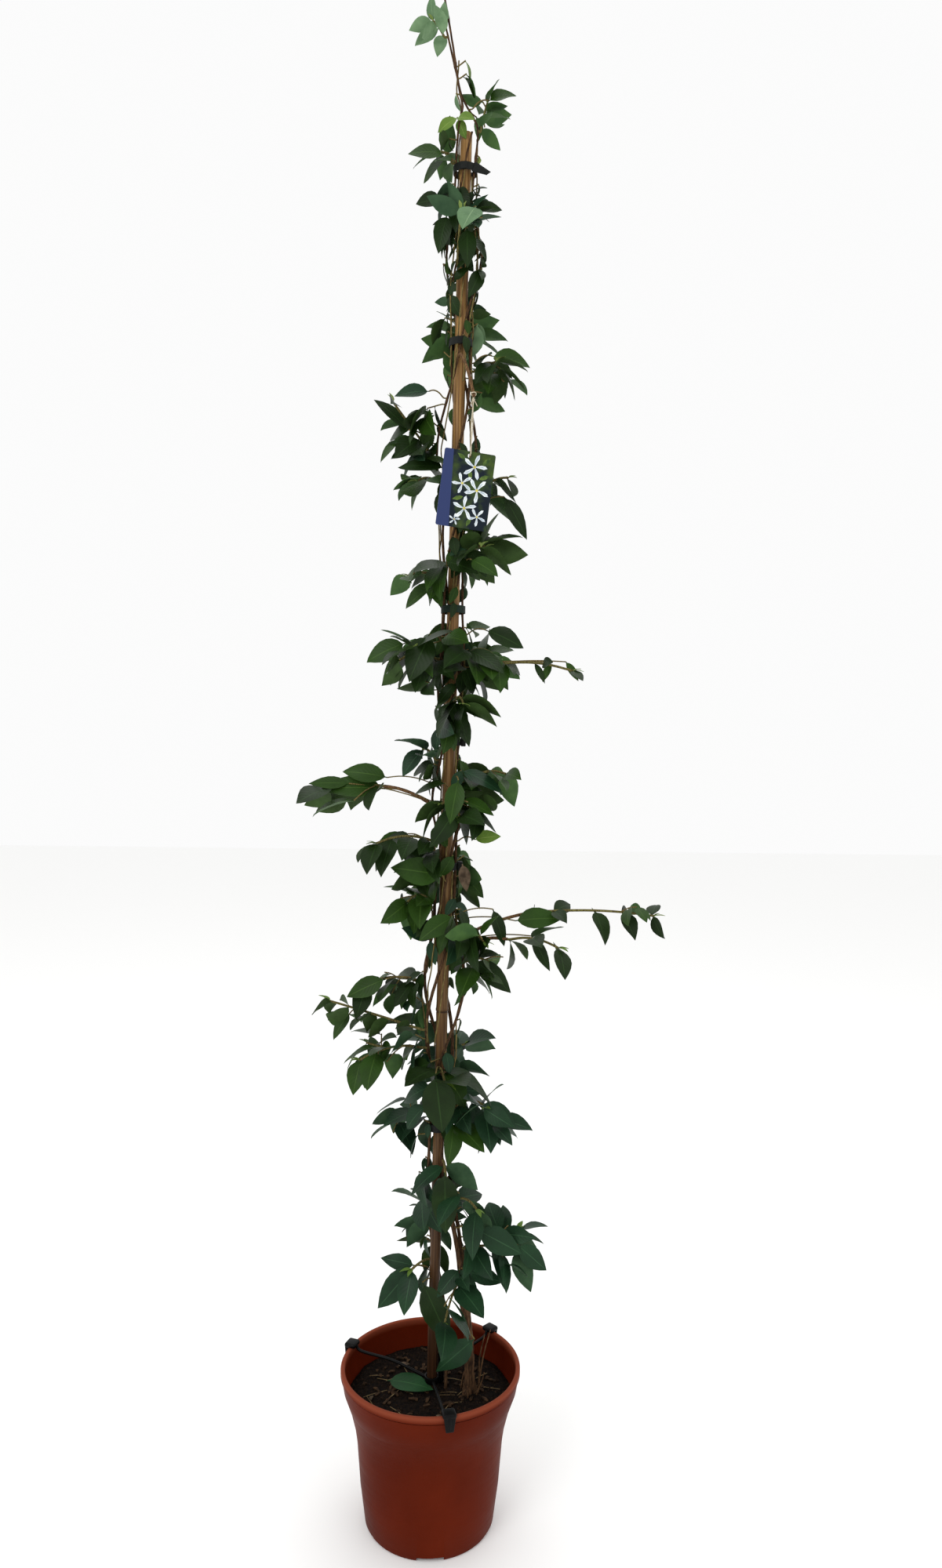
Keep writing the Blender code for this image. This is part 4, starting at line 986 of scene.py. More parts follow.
# foliage, by the same rule as the solids and carried on to finer twigs
leafShape = {
    "width": 0.53, "thickness": 0.022, "rootHalf": 0.00038, "twig": (0.0018, 0.0014), "longTwig": 0.08,
    "droop": 0.06, "seed": 5, "twigSteps": 4,
    # one leaf: tries, how each loosens, turn about the twig, angle from it, dip, tilt
    "tries": 7, "loosen": 0.35, "roll": 0.22, "spread": (62, 9), "dip": (0.45, 0.35), "mostRise": -0.3,
    "tilt": 0.75, "sizes": (0.86, 1.12), "shrink": 0.97, "widths": (0.9, 1.12),
    "clear": 0.00035, "closeClear": 0.0002, "stalkShare": 0.14,
    # the pairs along a twig
    "shootRoll": 0.15, "jitter": 0.12, "places": (0.05, 0.985), "taper": 0.22, "pairShift": 0.0005,
    # a mass's stem: tries, turn and its spread, bend, climb on every second try, rise
    "stemTries": 12, "turns": (5, 4), "bend": 0.1, "climb": 0.003, "rises": (0.8, 1.2),
    "firstPair": 0.3, "firstOnBough": 0.14,
    # a side shoot: place, swing and how it widens, span, least reach, lift, leaf
    "sideTries": 8, "sidePlaces": (0.3, 0.75), "sideSwing": (35, 80, 8), "sideSpans": (0.7, 1.15),
    "sideShare": 0.55, "leastSide": 0.022, "sideLifts": (-0.3, 0.5), "sideArch": 0.6, "sideLeaf": 0.9,
    # name, bough it grows from (None: the nearest stem), height, bearing, reach, rise, arch, pairs,
    # leaf length, side shoots
    "rows": (
        ("leaves_foot_left", None, 0.322, 222, 0.032, -0.004, 0.004, 3, 0.066, 0),
        ("leaves_foot_front", None, 0.304, 250, 0.034, -0.04, 0.006, 2, 0.066, 0),
        ("leaves_foot_right", None, 0.342, -8, 0.06, 0, 0.006, 3, 0.062, 1),
        ("leaves_foot_upper", None, 0.405, -30, 0.036, 0, 0.008, 3, 0.062, 0),
        ("leaves_foot_back", None, 0.35, 100, 0.06, 0.015, 0.008, 4, 0.058, 0),
        ("leaves_low_front", None, 0.456, -85, 0.03, -0.034, 0.004, 3, 0.066, 0),
        ("leaves_low_right", None, 0.518, -12, 0.056, -0.012, 0.018, 4, 0.058, 1),
        ("leaves_low_left", None, 0.492, 182, 0.048, -0.004, 0.006, 3, 0.054, 0),
        ("leaves_low_back", None, 0.56, 85, 0.062, 0.02, 0.008, 4, 0.058, 1),
        ("leaves_tongue", None, 0.574, -85, 0.02, -0.012, 0.006, 2, 0.074, 0),
        ("leaves_left_reach", None, 0.616, 184, 0.115, 0.03, 0.002, 5, 0.042, 0),
        ("leaves_left_low", None, 0.592, 194, 0.078, -0.01, 0.008, 4, 0.056, 1),
        ("leaves_left_lower", None, 0.672, 178, 0.068, -0.004, 0.008, 3, 0.052, 0),
        ("leaves_low_inner", None, 0.7, -35, 0.03, 0.004, 0.004, 3, 0.058, 0),
        ("leaves_left_mid", None, 0.775, 196, 0.03, 0, 0.008, 4, 0.056, 0),
        ("leaves_right_inner", None, 0.738, -28, 0.042, -0.006, 0.008, 3, 0.056, 0),
        ("leaves_right_tip", "bough_right_low", 0, 3, 0.15, -0.004, 0.005, 5, 0.042, 0),
        ("leaves_right_lower", "bough_right_lower", 0, -14, 0.058, -0.01, 0.006, 3, 0.056, 0),
        ("leaves_mid_back", None, 0.79, 95, 0.066, 0.02, 0.008, 4, 0.058, 1),
        ("leaves_left_tip", "bough_left_middle", 0, 182, 0.062, -0.004, 0.004, 4, 0.064, 0),
        ("leaves_left_under", None, 0.848, 202, 0.074, 0, 0.008, 4, 0.058, 0),
        ("leaves_left_over", None, 0.948, 188, 0.016, 0.016, 0.004, 3, 0.052, 0),
        ("leaves_right_mid", None, 0.92, -8, 0.05, 0.014, 0.008, 3, 0.05, 0),
        ("leaves_front_mid", None, 0.905, -70, 0.024, -0.02, 0.004, 4, 0.058, 1),
        ("leaves_left_upper", None, 1.07, 194, 0.046, -0.004, 0.008, 5, 0.064, 1),
        ("leaves_right_upper", None, 1.076, -14, 0.036, -0.004, 0.008, 3, 0.062, 0),
        ("leaves_right_sprig", None, 1.052, 2, 0.13, 0.004, 0.012, 4, 0.034, 0),
        ("leaves_band", None, 1.02, -62, 0.03, -0.006, 0.006, 3, 0.056, 0),
        ("leaves_upper_back", None, 1.06, 90, 0.06, 0.02, 0.008, 4, 0.06, 1),
        ("leaves_left_band", None, 1.165, 190, 0.04, 0.004, 0.006, 3, 0.052, 0),
        ("leaves_right_band", None, 1.19, -20, 0.022, 0.016, 0.006, 4, 0.062, 1),
        ("leaves_left_card", None, 1.275, 186, 0.032, 0.004, 0.006, 3, 0.054, 0),
        ("leaves_right_card", None, 1.27, 2, 0.04, 0.02, 0.006, 3, 0.056, 0),
        ("leaves_left_high", None, 1.315, 190, 0.05, 0.062, 0, 5, 0.048, 0),
        ("leaves_right_high", None, 1.415, -6, 0.03, 0.004, 0.008, 4, 0.056, 1),
        ("leaves_high_back", None, 1.455, 96, 0.044, 0.02, 0.008, 4, 0.058, 1),
        ("leaves_column", None, 1.535, -75, 0.022, 0.056, 0.004, 5, 0.052, 0),
        ("leaves_crown_low", None, 1.65, 190, 0.016, 0.016, 0.004, 4, 0.05, 0),
        ("leaves_crown", None, 1.7, 0, 0.008, 0.03, 0.002, 4, 0.04, 0),
        ("leaves_leader", None, 1.81, 180, 0.014, 0.018, 0.002, 4, 0.038, 0),
    ),
}


def tubeShape(path, radii, sides):
    # the plain tube that the clearance tests use
    across = (path[1] - path[0]).normalized().orthogonal().normalized()
    points, faces = [], []
    for i, spot in enumerate(path):
        tangent = (path[min(i + 1, len(path) - 1)] - path[max(i - 1, 0)]).normalized()
        across = (across - tangent * across.dot(tangent)).normalized()
        beside = tangent.cross(across)
        for k in range(sides):
            angle = 2 * pi * k / sides
            points.append(spot + (across * cos(angle) + beside * sin(angle)) * radii[i])
    for i in range(len(path) - 1):
        for k in range(sides):
            j = (k + 1) % sides
            low, high = i * sides, (i + 1) * sides
            faces.append((low + k, low + j, high + j, high + k))
    faces.append(tuple(reversed(range(sides))))
    faces.append(tuple(range((len(path) - 1) * sides, len(path) * sides)))
    return points, faces


def plainLeaf(root, along, faceUp, length, width, grow=0, trim=0):
    # the solid's own leaf: what a new leaf is tested with
    side = along.cross(faceUp).normalized()
    lift = side.cross(along).normalized()
    half = width / 2 + grow
    thick = length * leafShape["thickness"] * 0.5 + grow
    stalk = leafShape["rootHalf"] + grow
    base = root + along * (length * trim)
    droop = length * leafShape["droop"]
    places = ((0.36, half * 0.92, droop * 0.5), (0.36, -half * 0.92, droop * 0.5),
              (0.7, half * 0.8, droop * 0.3), (0.7, -half * 0.8, droop * 0.3))
    points = [base + side * stalk - lift * stalk, base + lift * stalk, base - side * stalk - lift * stalk]
    points += [root + along * (length * share) + side * across + lift * rise
               for share, across, rise in places]
    points.append(root + along * (length + grow) - lift * droop)
    points.append(root + along * (length * 0.5) + lift * (droop * 0.6 + thick))
    ring = (1, 2, 4, 6, 7, 5, 3, 0)
    under = (6, 4, 2, 0, 3, 5)
    faces = [(8, ring[(i + 1) % 8], ring[i]) for i in range(8)]
    faces += [(7, under[i + 1], under[i]) for i in range(5)]
    faces.append((0, 1, 2))
    return points, faces


class Obstacles:
    # what already stands there
    def __init__(self):
        self.bodies = []

    def add(self, shape, owner):
        points, faces = shape
        low = [min(point[i] for point in points) for i in range(3)]
        high = [max(point[i] for point in points) for i in range(3)]
        self.bodies.append((low, high, BVHTree.FromPolygons(points, faces), owner))

    def hit(self, shape, skip=()):
        points, faces = shape
        low = [min(point[i] for point in points) for i in range(3)]
        high = [max(point[i] for point in points) for i in range(3)]
        tree = None
        for otherLow, otherHigh, other, owner in self.bodies:
            if owner in skip or any(low[i] > otherHigh[i] or high[i] < otherLow[i] for i in range(3)):
                continue
            if tree is None:
                tree = BVHTree.FromPolygons(points, faces)
            if tree.overlap(other):
                return True
        return False


def twigRadii(count, reach):
    foot = blend(leafShape["twig"][1], leafShape["twig"][0], min(reach / leafShape["longTwig"], 1))
    return [blend(foot, leafShape["twig"][1], i / (count - 1)) for i in range(count)]


def spotAlong(path, place):
    # a place along a path, in steps, and the heading there
    i = min(int(place), len(path) - 2)
    return path[i].lerp(path[i + 1], place - i), (path[i + 1] - path[i]).normalized()


def growLeaf(root, tangent, sign, roll, length, dice, solids, own):
    shape = leafShape
    for attempt in range(shape["tries"]):
        loose = 1 + shape["loosen"] * attempt
        side = tangent.cross(up)
        if side.length < 0.3:
            side = tangent.cross(heading(dice.uniform(0, 360)))
        turn = roll + dice.gauss(0, shape["roll"] * loose)
        side = Matrix.Rotation(turn, 3, tangent) @ side.normalized()
        spread = radians(dice.gauss(shape["spread"][0], shape["spread"][1] * loose))
        along = tangent * cos(spread) + side * (sign * sin(spread))
        along -= up * max(dice.gauss(shape["dip"][0], shape["dip"][1] * loose), shape["mostRise"])
        along.normalize()
        faceUp = up - along * along.dot(up)
        if faceUp.length < 0.2:
            faceUp = tangent - along * along.dot(tangent)
        faceUp = Matrix.Rotation(dice.gauss(0, shape["tilt"]), 3, along) @ faceUp.normalized()
        size = length * dice.uniform(*shape["sizes"]) * (shape["shrink"] ** attempt)
        leaf = (root, along, faceUp, size, size * shape["width"] * dice.uniform(*shape["widths"]))
        if not solids.hit(plainLeaf(*leaf, grow=shape["clear"]), own):
            test = plainLeaf(*leaf, grow=shape["closeClear"], trim=shape["stalkShare"])
            if not solids.hit(test, own[:1]):
                return leaf
    return None


def growShoot(path, pairs, first, length, dice, solids, own):
    shape = leafShape
    lowest, highest = shape["places"]
    leaves = []
    last = len(path) - 1
    roll = dice.gauss(0, shape["shootRoll"])
    for k in range(pairs):
        share = first + (highest - first) * (k / max(pairs - 1, 1))
        if 0 < k < pairs - 1:
            share += dice.gauss(0, shape["jitter"] / pairs)
        root, tangent = spotAlong(path, min(max(share, lowest), highest) * last)
        turn = roll
        if abs(tangent.z) > 0.6 and k % 2:   # pairs cross each other on an upright twig
            turn += pi / 2
        size = length * (1 - shape["taper"] * abs(2 * (k + 1) / (pairs + 1) - 1))
        for sign in (1, -1):
            origin = root + tangent * (shape["pairShift"] * sign)
            leaf = growLeaf(origin, tangent, sign, turn, size, dice, solids, own)
            if leaf is not None:
                leaves.append(leaf)
                solids.add(plainLeaf(*leaf), own[1])
    return leaves


def massStem(row, boughs, solids, dice):
    # a mass's stem, tried further round until it stands clear
    bough, height, bearing, reach, rise, arch = row[1:7]
    shape = leafShape
    for attempt in range(shape["stemTries"]):
        turn = bearing + dice.gauss(0, shape["turns"][0] + shape["turns"][1] * attempt)
        bend = dice.gauss(0, shape["bend"]) * reach
        if bough is None:
            start = footOnStem(height + shape["climb"] * (attempt // 2), turn, push * (attempt % 2))
        else:
            ahead = (boughs[bough][0][-1] - boughs[bough][0][-2]).normalized()
            start = boughs[bough][0][-1] + ahead * limbGap
        climb = rise * dice.uniform(*shape["rises"])
        path = limbPath(start, turn, reach, climb, arch, bend, shape["twigSteps"])
        if bough is not None:
            path[1] = start + ahead * limbLead
        radii = twigRadii(len(path), reach)
        if not solids.hit(tubeShape(path, [radius + testMargin for radius in radii], 3)):
            return path, radii, turn
    return None, None, None


def sideShoot(path, turn, sign, reach, length, dice, solids, own):
    # a short twig with two pairs to one side of a mass's stem
    shape = leafShape
    thin = shape["twig"][1]
    root = spotAlong(path, dice.uniform(*shape["sidePlaces"]) * (len(path) - 1))[0]
    least, most, wider = shape["sideSwing"]
    for attempt in range(shape["sideTries"]):
        swing = sign * dice.uniform(least, most + wider * attempt)
        span = max(shape["sideShare"] * reach, shape["leastSide"]) * dice.uniform(*shape["sideSpans"])
        out = heading(turn + swing)
        lift = dice.uniform(*shape["sideLifts"]) * span
        bend = root + out * (0.5 * span) + up * (shape["sideArch"] * lift)
        branch = [root, bend, root + out * span + up * lift]
        if not solids.hit(tubeShape(clearOfHost(branch, 0.15), [thin + testMargin] * 3, 3), own[:1]):
            solids.add(tubeShape(branch, [thin] * 3, 3), own[0])
            leaves = growShoot(branch, 2, 0.45, shape["sideLeaf"] * length, dice, solids, own)
            return [(branch, [thin] * 3)], leaves
    return [], []


def clearOfHost(branch, share):
    # the same twig without its first stretch, which lies in its host
    return [branch[0].lerp(branch[1], share)] + branch[1:]


def growMass(row, boughs, solids):
    name, bough = row[:2]
    reach, pairs, length, sides = row[4], *row[7:]
    dice = random.Random("%s %d" % (name, leafShape["seed"]))
    own = (name + "_twig", name)
    path, radii, turn = massStem(row, boughs, solids, dice)
    if path is None:
        return [], []
    twigs, leaves = [(path, radii)], []
    solids.add(tubeShape(path, radii, 3), own[0])
    for k in range(sides):
        sign = 1 if (k + pairs) % 2 else -1
        branch, grown = sideShoot(path, turn, sign, reach, length, dice, solids, own)
        twigs += branch
        leaves += grown
    first = leafShape["firstPair"] if bough is None else leafShape["firstOnBough"]
    leaves += growShoot(path, pairs, first, length, dice, solids, own)
    return twigs, leaves


def placeLimbs():
    # stems and boughs first, then every other solid as the frame has it
    solids = Obstacles()
    for row in stemShape["rows"]:
        path = stemPaths[row[0]]
        solids.add(tubeShape(path, [stemRadius(row, spot.z) for spot in path], 5), row[0])
    boughs = {}
    for row in boughShape["rows"]:
        for step in range(boughShape["tries"]):
            start = footOnStem(row[1], row[2], step * push)
            path = limbPath(start, row[2], row[3], row[4], row[5], 0, boughShape["steps"])
            radii = [blend(row[6], row[7], i / (len(path) - 1)) for i in range(len(path))]
            if not solids.hit(tubeShape(path, [radius + testMargin for radius in radii], 5)):
                break
        boughs[row[0]] = (path, radii)
        solids.add(tubeShape(path, radii, 5), row[0])
    plain = ["pot", "soil", "cane", "holder", "trunk", "label"]
    plain += ["tie_%d" % (i + 1) for i in range(len(tieShape["heights"]))]
    for name in plain:
        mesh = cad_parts[name].data
        points = [vertex.co.copy() for vertex in mesh.vertices]
        solids.add((points, [tuple(face.vertices) for face in mesh.polygons]), name)
    return solids, boughs


standing, limbs = placeLimbs()


fineShape = {
    "seed": 19, "twig": 0.00085, "footSunk": 0.0015,
    "reachMargin": 0.006,   # how far past a mass's box, a bough or the stems fine growth may stand
    # side sprigs: number, least twig that bears them, place, tries, angle, droop, length, leaf
    "sprigs": 2, "sprigHost": 0.03, "sprigPlaces": (0.25, 0.92), "sprigTries": 5, "sprigForward": (0.4, 1.1),
    "sprigDroop": 0.15, "sprigSpans": (0.018, 0.036), "sprigLeaf": 0.88,
    # the young pair at a tip: spread, rise, length, its variation, width for its length, sunk
    "tipSpread": 0.5, "tipRises": (0.1, 0.6), "tipLeaf": 0.013, "tipSizes": (0.7, 1.3), "tipWidth": 0.42,
    "tipSunk": 0.0004,
    # a column leaf: tries, swing and its spread, droop and its growth, outwards, face, length, width
    "hangTries": 24, "hangSwing": (62, 20, 2), "hangDroops": (-0.15, 1), "hangSteeper": 0.08,
    "hangOuts": (0.5, 1), "faceOuts": (0.5, 1.2), "faceUps": (0.1, 1), "hangSizes": (0.8, 1.15),
    "hangShrink": 0.975, "hangWidths": (0.85, 1.1), "hangStalk": 0.1,
    # the column's shoots: foot, first bearing, spacing, turn to the next, turn to the front
    "columnBottom": 0.3, "columnStart": 20, "columnSteps": (0.7, 1.3), "columnTurn": (137.5, 14),
    "frontSpread": 32, "columnTries": 6, "columnWander": 12, "columnReaches": (0.35, 1),
    "columnRises": (-0.3, 0.8),
    # bands of the column: top, spacing of shoots, their reach, leaf length and hang; the close ones
    # are leaves that hang along the stems
    "closeBands": (
        (0.345, 0.01, 0.004, 0.04, 3), (0.48, 0.014, 0.004, 0.038, 4), (0.61, 0.007, 0.004, 0.04, 3),
        (0.725, 0.014, 0.004, 0.036, 4), (0.845, 0.006, 0.004, 0.04, 3), (0.885, 0.014, 0.004, 0.036, 4),
        (1.11, 0.006, 0.004, 0.04, 3), (1.325, 0.005, 0.004, 0.042, 3), (1.44, 0.012, 0.004, 0.038, 4),
        (1.62, 0.0024, 0.004, 0.029, 4),
    ),
    "closeFront": 0.6,
    "columnBands": (
        (0.435, 0.011, 0.012, 0.056, 1), (0.63, 0.008, 0.016, 0.06, 1.2), (0.73, 0.009, 0.012, 0.056, 1.4),
        (0.825, 0.007, 0.016, 0.058, 1.1), (0.92, 0.007, 0.018, 0.058, 1), (1.015, 0.008, 0.012, 0.054, 1.6),
        (1.11, 0.006, 0.018, 0.058, 1), (1.205, 0.007, 0.014, 0.054, 1.4), (1.39, 0.0055, 0.02, 0.056, 1),
        (1.475, 0.008, 0.014, 0.05, 1.2), (1.635, 0.006, 0.006, 0.038, 3), (1.77, 0.018, 0.01, 0.034, 1.2),
    ),
    # heights at which the cane shows bare from the front
    "bareCane": ((0.245, 0.285), (0.34, 0.48), (0.61, 0.72), (0.84, 0.885), (0.955, 0.985),
                 (1.105, 1.125), (1.33, 1.44), (1.462, 1.492)),
    "frontShare": 0.42,     # of the shoots elsewhere turn to the front
    "frontHalf": 50,      # degrees each side of straight ahead that stay clear there
    # thin bare runners: from, to, bearing at the foot
    "wands": ((0.6, 1.1, 200), (0.7, 1.25, 20), (0.95, 1.45, 100), (1.1, 1.62, 250),
              (0.5, 0.88, 330), (1.3, 1.78, 30), (0.52, 1.02, 120), (1.4, 1.69, 290),
              (1.42, 1.66, 200), (1.38, 1.64, 235), (0.6, 0.82, 250), (1.12, 1.34, 270)),
    "wandAway": 0.0035, "wandWave": 0.0015, "wandWaves": 31, "wandTwist": 300, "wandStep": 0.012,
    "wandRadius": 0.0009,
}


massBoxes = {row[0]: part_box(row[0]) for row in leafShape["rows"]}


def inBox(spot, box):
    margin = fineShape["reachMargin"]
    return all(box[0][i] - margin <= spot[i] <= box[1][i] + margin for i in range(3))


def stemsReach(height, out):
    # how far the cane and the stems stand out towards one side
    spans = [caneRadius(height) if height < caneShape["top"] else 0]
    for row in stemShape["rows"]:
        line = stemPaths[row[0]]
        if line[0].z <= height <= row[4]:
            spans.append((spotOn(line, height) - caneAt(height)).dot(out) + stemRadius(row, height))
    return max(spans)


def nearBough(spot):
    for path, radii in limbs.values():
        for a, b in zip(path, path[1:]):
            line = b - a
            share = min(max((spot - a).dot(line) / line.length_squared, 0), 1)
            if (spot - a - line * share).length <= radii[-1] + fineShape["reachMargin"]:
                return True
    return False


def withinReach(spot, boxes):
    # in the space of a mass, or close against a bough or the stems
    if any(inBox(spot, box) for box in boxes) or nearBough(spot):
        return True
    away = spot - caneAt(spot.z)
    away.z = 0
    if away.length < 0.0001 or spot.z > stemShape["rows"][0][4]:
        return away.length < 0.0001
    return away.length <= stemsReach(spot.z, away.normalized()) + fineShape["reachMargin"]


def pathInReach(path, boxes):
    return all(withinReach(spot, boxes) for spot in path)


def leafInReach(leaf, boxes):
    return pathInReach(plainLeaf(*leaf)[0], boxes)


def sideSprig(path, leafLength, box, dice, solids, own):
    # a twig with two pairs, kept when it and some of its leaves are in the mass's box
    shape = fineShape
    root, forward = spotAlong(path, dice.uniform(*shape["sprigPlaces"]) * (len(path) - 1))
    radii = [shape["twig"]] * 3
    for attempt in range(shape["sprigTries"]):
        spin = Matrix.Rotation(dice.uniform(0, fullTurn), 3, forward)
        aside = spin @ forward.orthogonal().normalized()
        out = (forward * dice.uniform(*shape["sprigForward"]) + aside).normalized()
        reach = dice.uniform(*shape["sprigSpans"])
        branch = [root, root + out * (0.5 * reach), root + (out - up * shape["sprigDroop"]) * reach]
        if solids.hit(tubeShape(clearOfHost(branch, 0.3), [radii[0] + testMargin] * 3, 3), own[:1]):
            continue
        grown = growShoot(branch, 2, 0.5, shape["sprigLeaf"] * leafLength, dice, solids, own)
        kept = [leaf for leaf in grown if leafInReach(leaf, box)]
        if kept and pathInReach(branch, box):
            return [(branch, radii)], kept
        break
    return [], []


def tipPair(path, box, dice):
    # two young leaves at the tip of a twig
    shape = fineShape
    ahead = (path[-1] - path[-2]).normalized()
    pair = []
    for sign in (1, -1):
        aside = ahead.cross(up).normalized() * sign
        along = (ahead + aside * shape["tipSpread"] + up * dice.uniform(*shape["tipRises"])).normalized()
        size = shape["tipLeaf"] * dice.uniform(*shape["tipSizes"])
        faceUp = squareTo(along, up)
        leaf = (path[-1] - ahead * shape["tipSunk"], along, faceUp, size, shape["tipWidth"] * size)
        if leafInReach(leaf, box):
            pair.append(leaf)
    return pair


def growFiner(row, twigs, solids):
    # sprigs on each twig of one mass and a young pair at its tip, in that mass's own box
    dice = random.Random("%s %d" % (row[0], fineShape["seed"]))
    box = [massBoxes[row[0]]]
    own = (row[0] + "_twig", row[0] + "_fine")
    sprigs, leaves, young = [], [], []
    for path, radii in twigs:
        span = sum((b - a).length for a, b in zip(path, path[1:]))
        for k in range(fineShape["sprigs"] if span > fineShape["sprigHost"] else 0):
            sprig, grown = sideSprig(path, row[8], box, dice, solids, own)
            sprigs += sprig
            leaves += grown
        young += tipPair(path, box, dice)
    return sprigs, leaves, young


def isBare(height, bearing):
    away = abs((bearing - keySprays["facing"] + 180) % 360 - 180)
    if away > fineShape["frontHalf"]:
        return False
    return any(low < height < high for low, high in fineShape["bareCane"])


def hangOutward(root, bearing, sign, size, hang, dice, solids, own):
    # a leaf beside the column hangs to one side, steeper on each try, its face outwards
    shape = fineShape
    middle, spread, wider = shape["hangSwing"]
    for attempt in range(shape["hangTries"]):
        swing = sign * dice.gauss(middle, spread + wider * attempt)
        droop = hang * dice.uniform(*shape["hangDroops"]) + shape["hangSteeper"] * attempt
        along = heading(bearing + swing) * dice.uniform(*shape["hangOuts"]) - up * droop
        along.normalize()
        faceUp = heading(bearing) * dice.uniform(*shape["faceOuts"])
        faceUp += up * dice.uniform(*shape["faceUps"])
        faceUp = squareTo(along, faceUp)
        length = size * dice.uniform(*shape["hangSizes"]) * (shape["hangShrink"] ** attempt)
        width = length * leafShape["width"] * dice.uniform(*shape["hangWidths"])
        leaf = (root, along, faceUp, length, width)
        if not leafInReach(leaf, massBoxes.values()):
            continue
        test = plainLeaf(*leaf, grow=leafShape["closeClear"], trim=shape["hangStalk"])
        if not solids.hit(test, own[:1]):
            solids.add(plainLeaf(*leaf), own[1])
            return leaf
    return None


def columnShoot(height, bearing, band, dice, solids, own):
    # one short twig with one or two pairs, or nothing where there is no room
    shape = fineShape
    farthest, size, hang = band[2:]
    for attempt in range(shape["columnTries"]):
        turn = bearing + dice.gauss(0, shape["columnWander"] * attempt)
        reach = farthest * dice.uniform(*shape["columnReaches"])
        rise = dice.uniform(*shape["columnRises"]) * reach
        path = limbPath(footOnStem(height, turn, 0), turn, reach, rise, 0, 0, 2)
        if not pathInReach(path, massBoxes.values()):
            continue
        radii = [shape["twig"]] * len(path)
        if solids.hit(tubeShape(path, [shape["twig"] + testMargin] * len(path), 3)):
            continue
        grown = []
        for place, count in ((path[-1], 2), (path[-2], dice.choice((0, 1)))):
            for sign in (1, -1)[:count]:
                leaf = hangOutward(place, turn, sign, size, hang, dice, solids, own)
                if leaf is not None:
                    grown.append(leaf)
        if grown:
            solids.add(tubeShape(path, radii, 3), own[0])
            return [(path, radii)], [grown]
        break
    return [], []


def growColumn(label, bands, frontShare, solids):
    # short shoots all the way up the stems
    shape = fineShape
    dice = random.Random("%s %d" % (label, shape["seed"]))
    twigs, leaves = [], []
    height, bearing = shape["columnBottom"], shape["columnStart"]
    for band in bands:
        while height < band[0]:
            height += band[1] * dice.uniform(*shape["columnSteps"])
            bearing = (bearing + shape["columnTurn"][0] + dice.gauss(0, shape["columnTurn"][1])) % 360
            if dice.random() < frontShare and not isBare(height, keySprays["facing"]):
                bearing = keySprays["facing"] + dice.gauss(0, shape["frontSpread"])
            if isBare(height, bearing):
                continue
            own = ("%s twig %d" % (label, len(twigs)), "%s leaf %d" % (label, len(twigs)))
            twig, grown = columnShoot(height, bearing, band, dice, solids, own)
            twigs += twig
            leaves += grown
    return twigs, leaves


def growWands():
    # the runners twine up outside the stems, close to them at both ends
    shape = fineShape
    wands = []
    for low, high, phase in shape["wands"]:
        path = []
        steps = round((high - low) / shape["wandStep"])
        for i in range(steps + 1):
            height = blend(low, high, i / steps)
            host = stemDistance(nearestStem(height, phase), height)
            wave = shape["wandWave"] * sin(height * shape["wandWaves"] + phase)
            away = blend(host, host + shape["wandAway"] + wave, sin(pi * i / steps))
            out = heading(phase + shape["wandTwist"] * (height - low))
            path.append(caneAt(height) + out * min(away, stemsReach(height, out) + shape["wandAway"]))
        wands.append((path, [shape["wandRadius"]] * len(path)))
    return wands


# leaf blades: nine sections and a tip, a folded midrib, a closed underside
bladeLook = {
    "stations": (0, 0.06, 0.13, 0.24, 0.37, 0.52, 0.68, 0.82, 0.93),
    "stalkEnd": 0.07, "bladeStart": 0.06, "stalk": (0.0008, 0.02, 0.0003), "stalkEdge": -0.0004,
    "half": 0.49, "widest": 0.44, "powers": (0.68, 1.04), "thickness": (0.0011, 0.00042),
    "folds": (0.06, 0.34), "curls": (0.7, 1.9), "twist": 0.22, "waves": (0, 0.1), "edgeLag": 2.1,
    "tipDrop": 0.8,
}


def bladeHalf(share, width, petiole):
    # half width: a thin stalk, widest just short of the middle, drawn to a point
    look = bladeLook
    if share < look["stalkEnd"]:
        return petiole
    run = (share - look["bladeStart"]) / (1 - look["bladeStart"])
    rise, fall = look["powers"]
    swell = (run / look["widest"]) ** rise * ((1 - run) / (1 - look["widest"])) ** fall
    return max(petiole, look["half"] * width * swell)


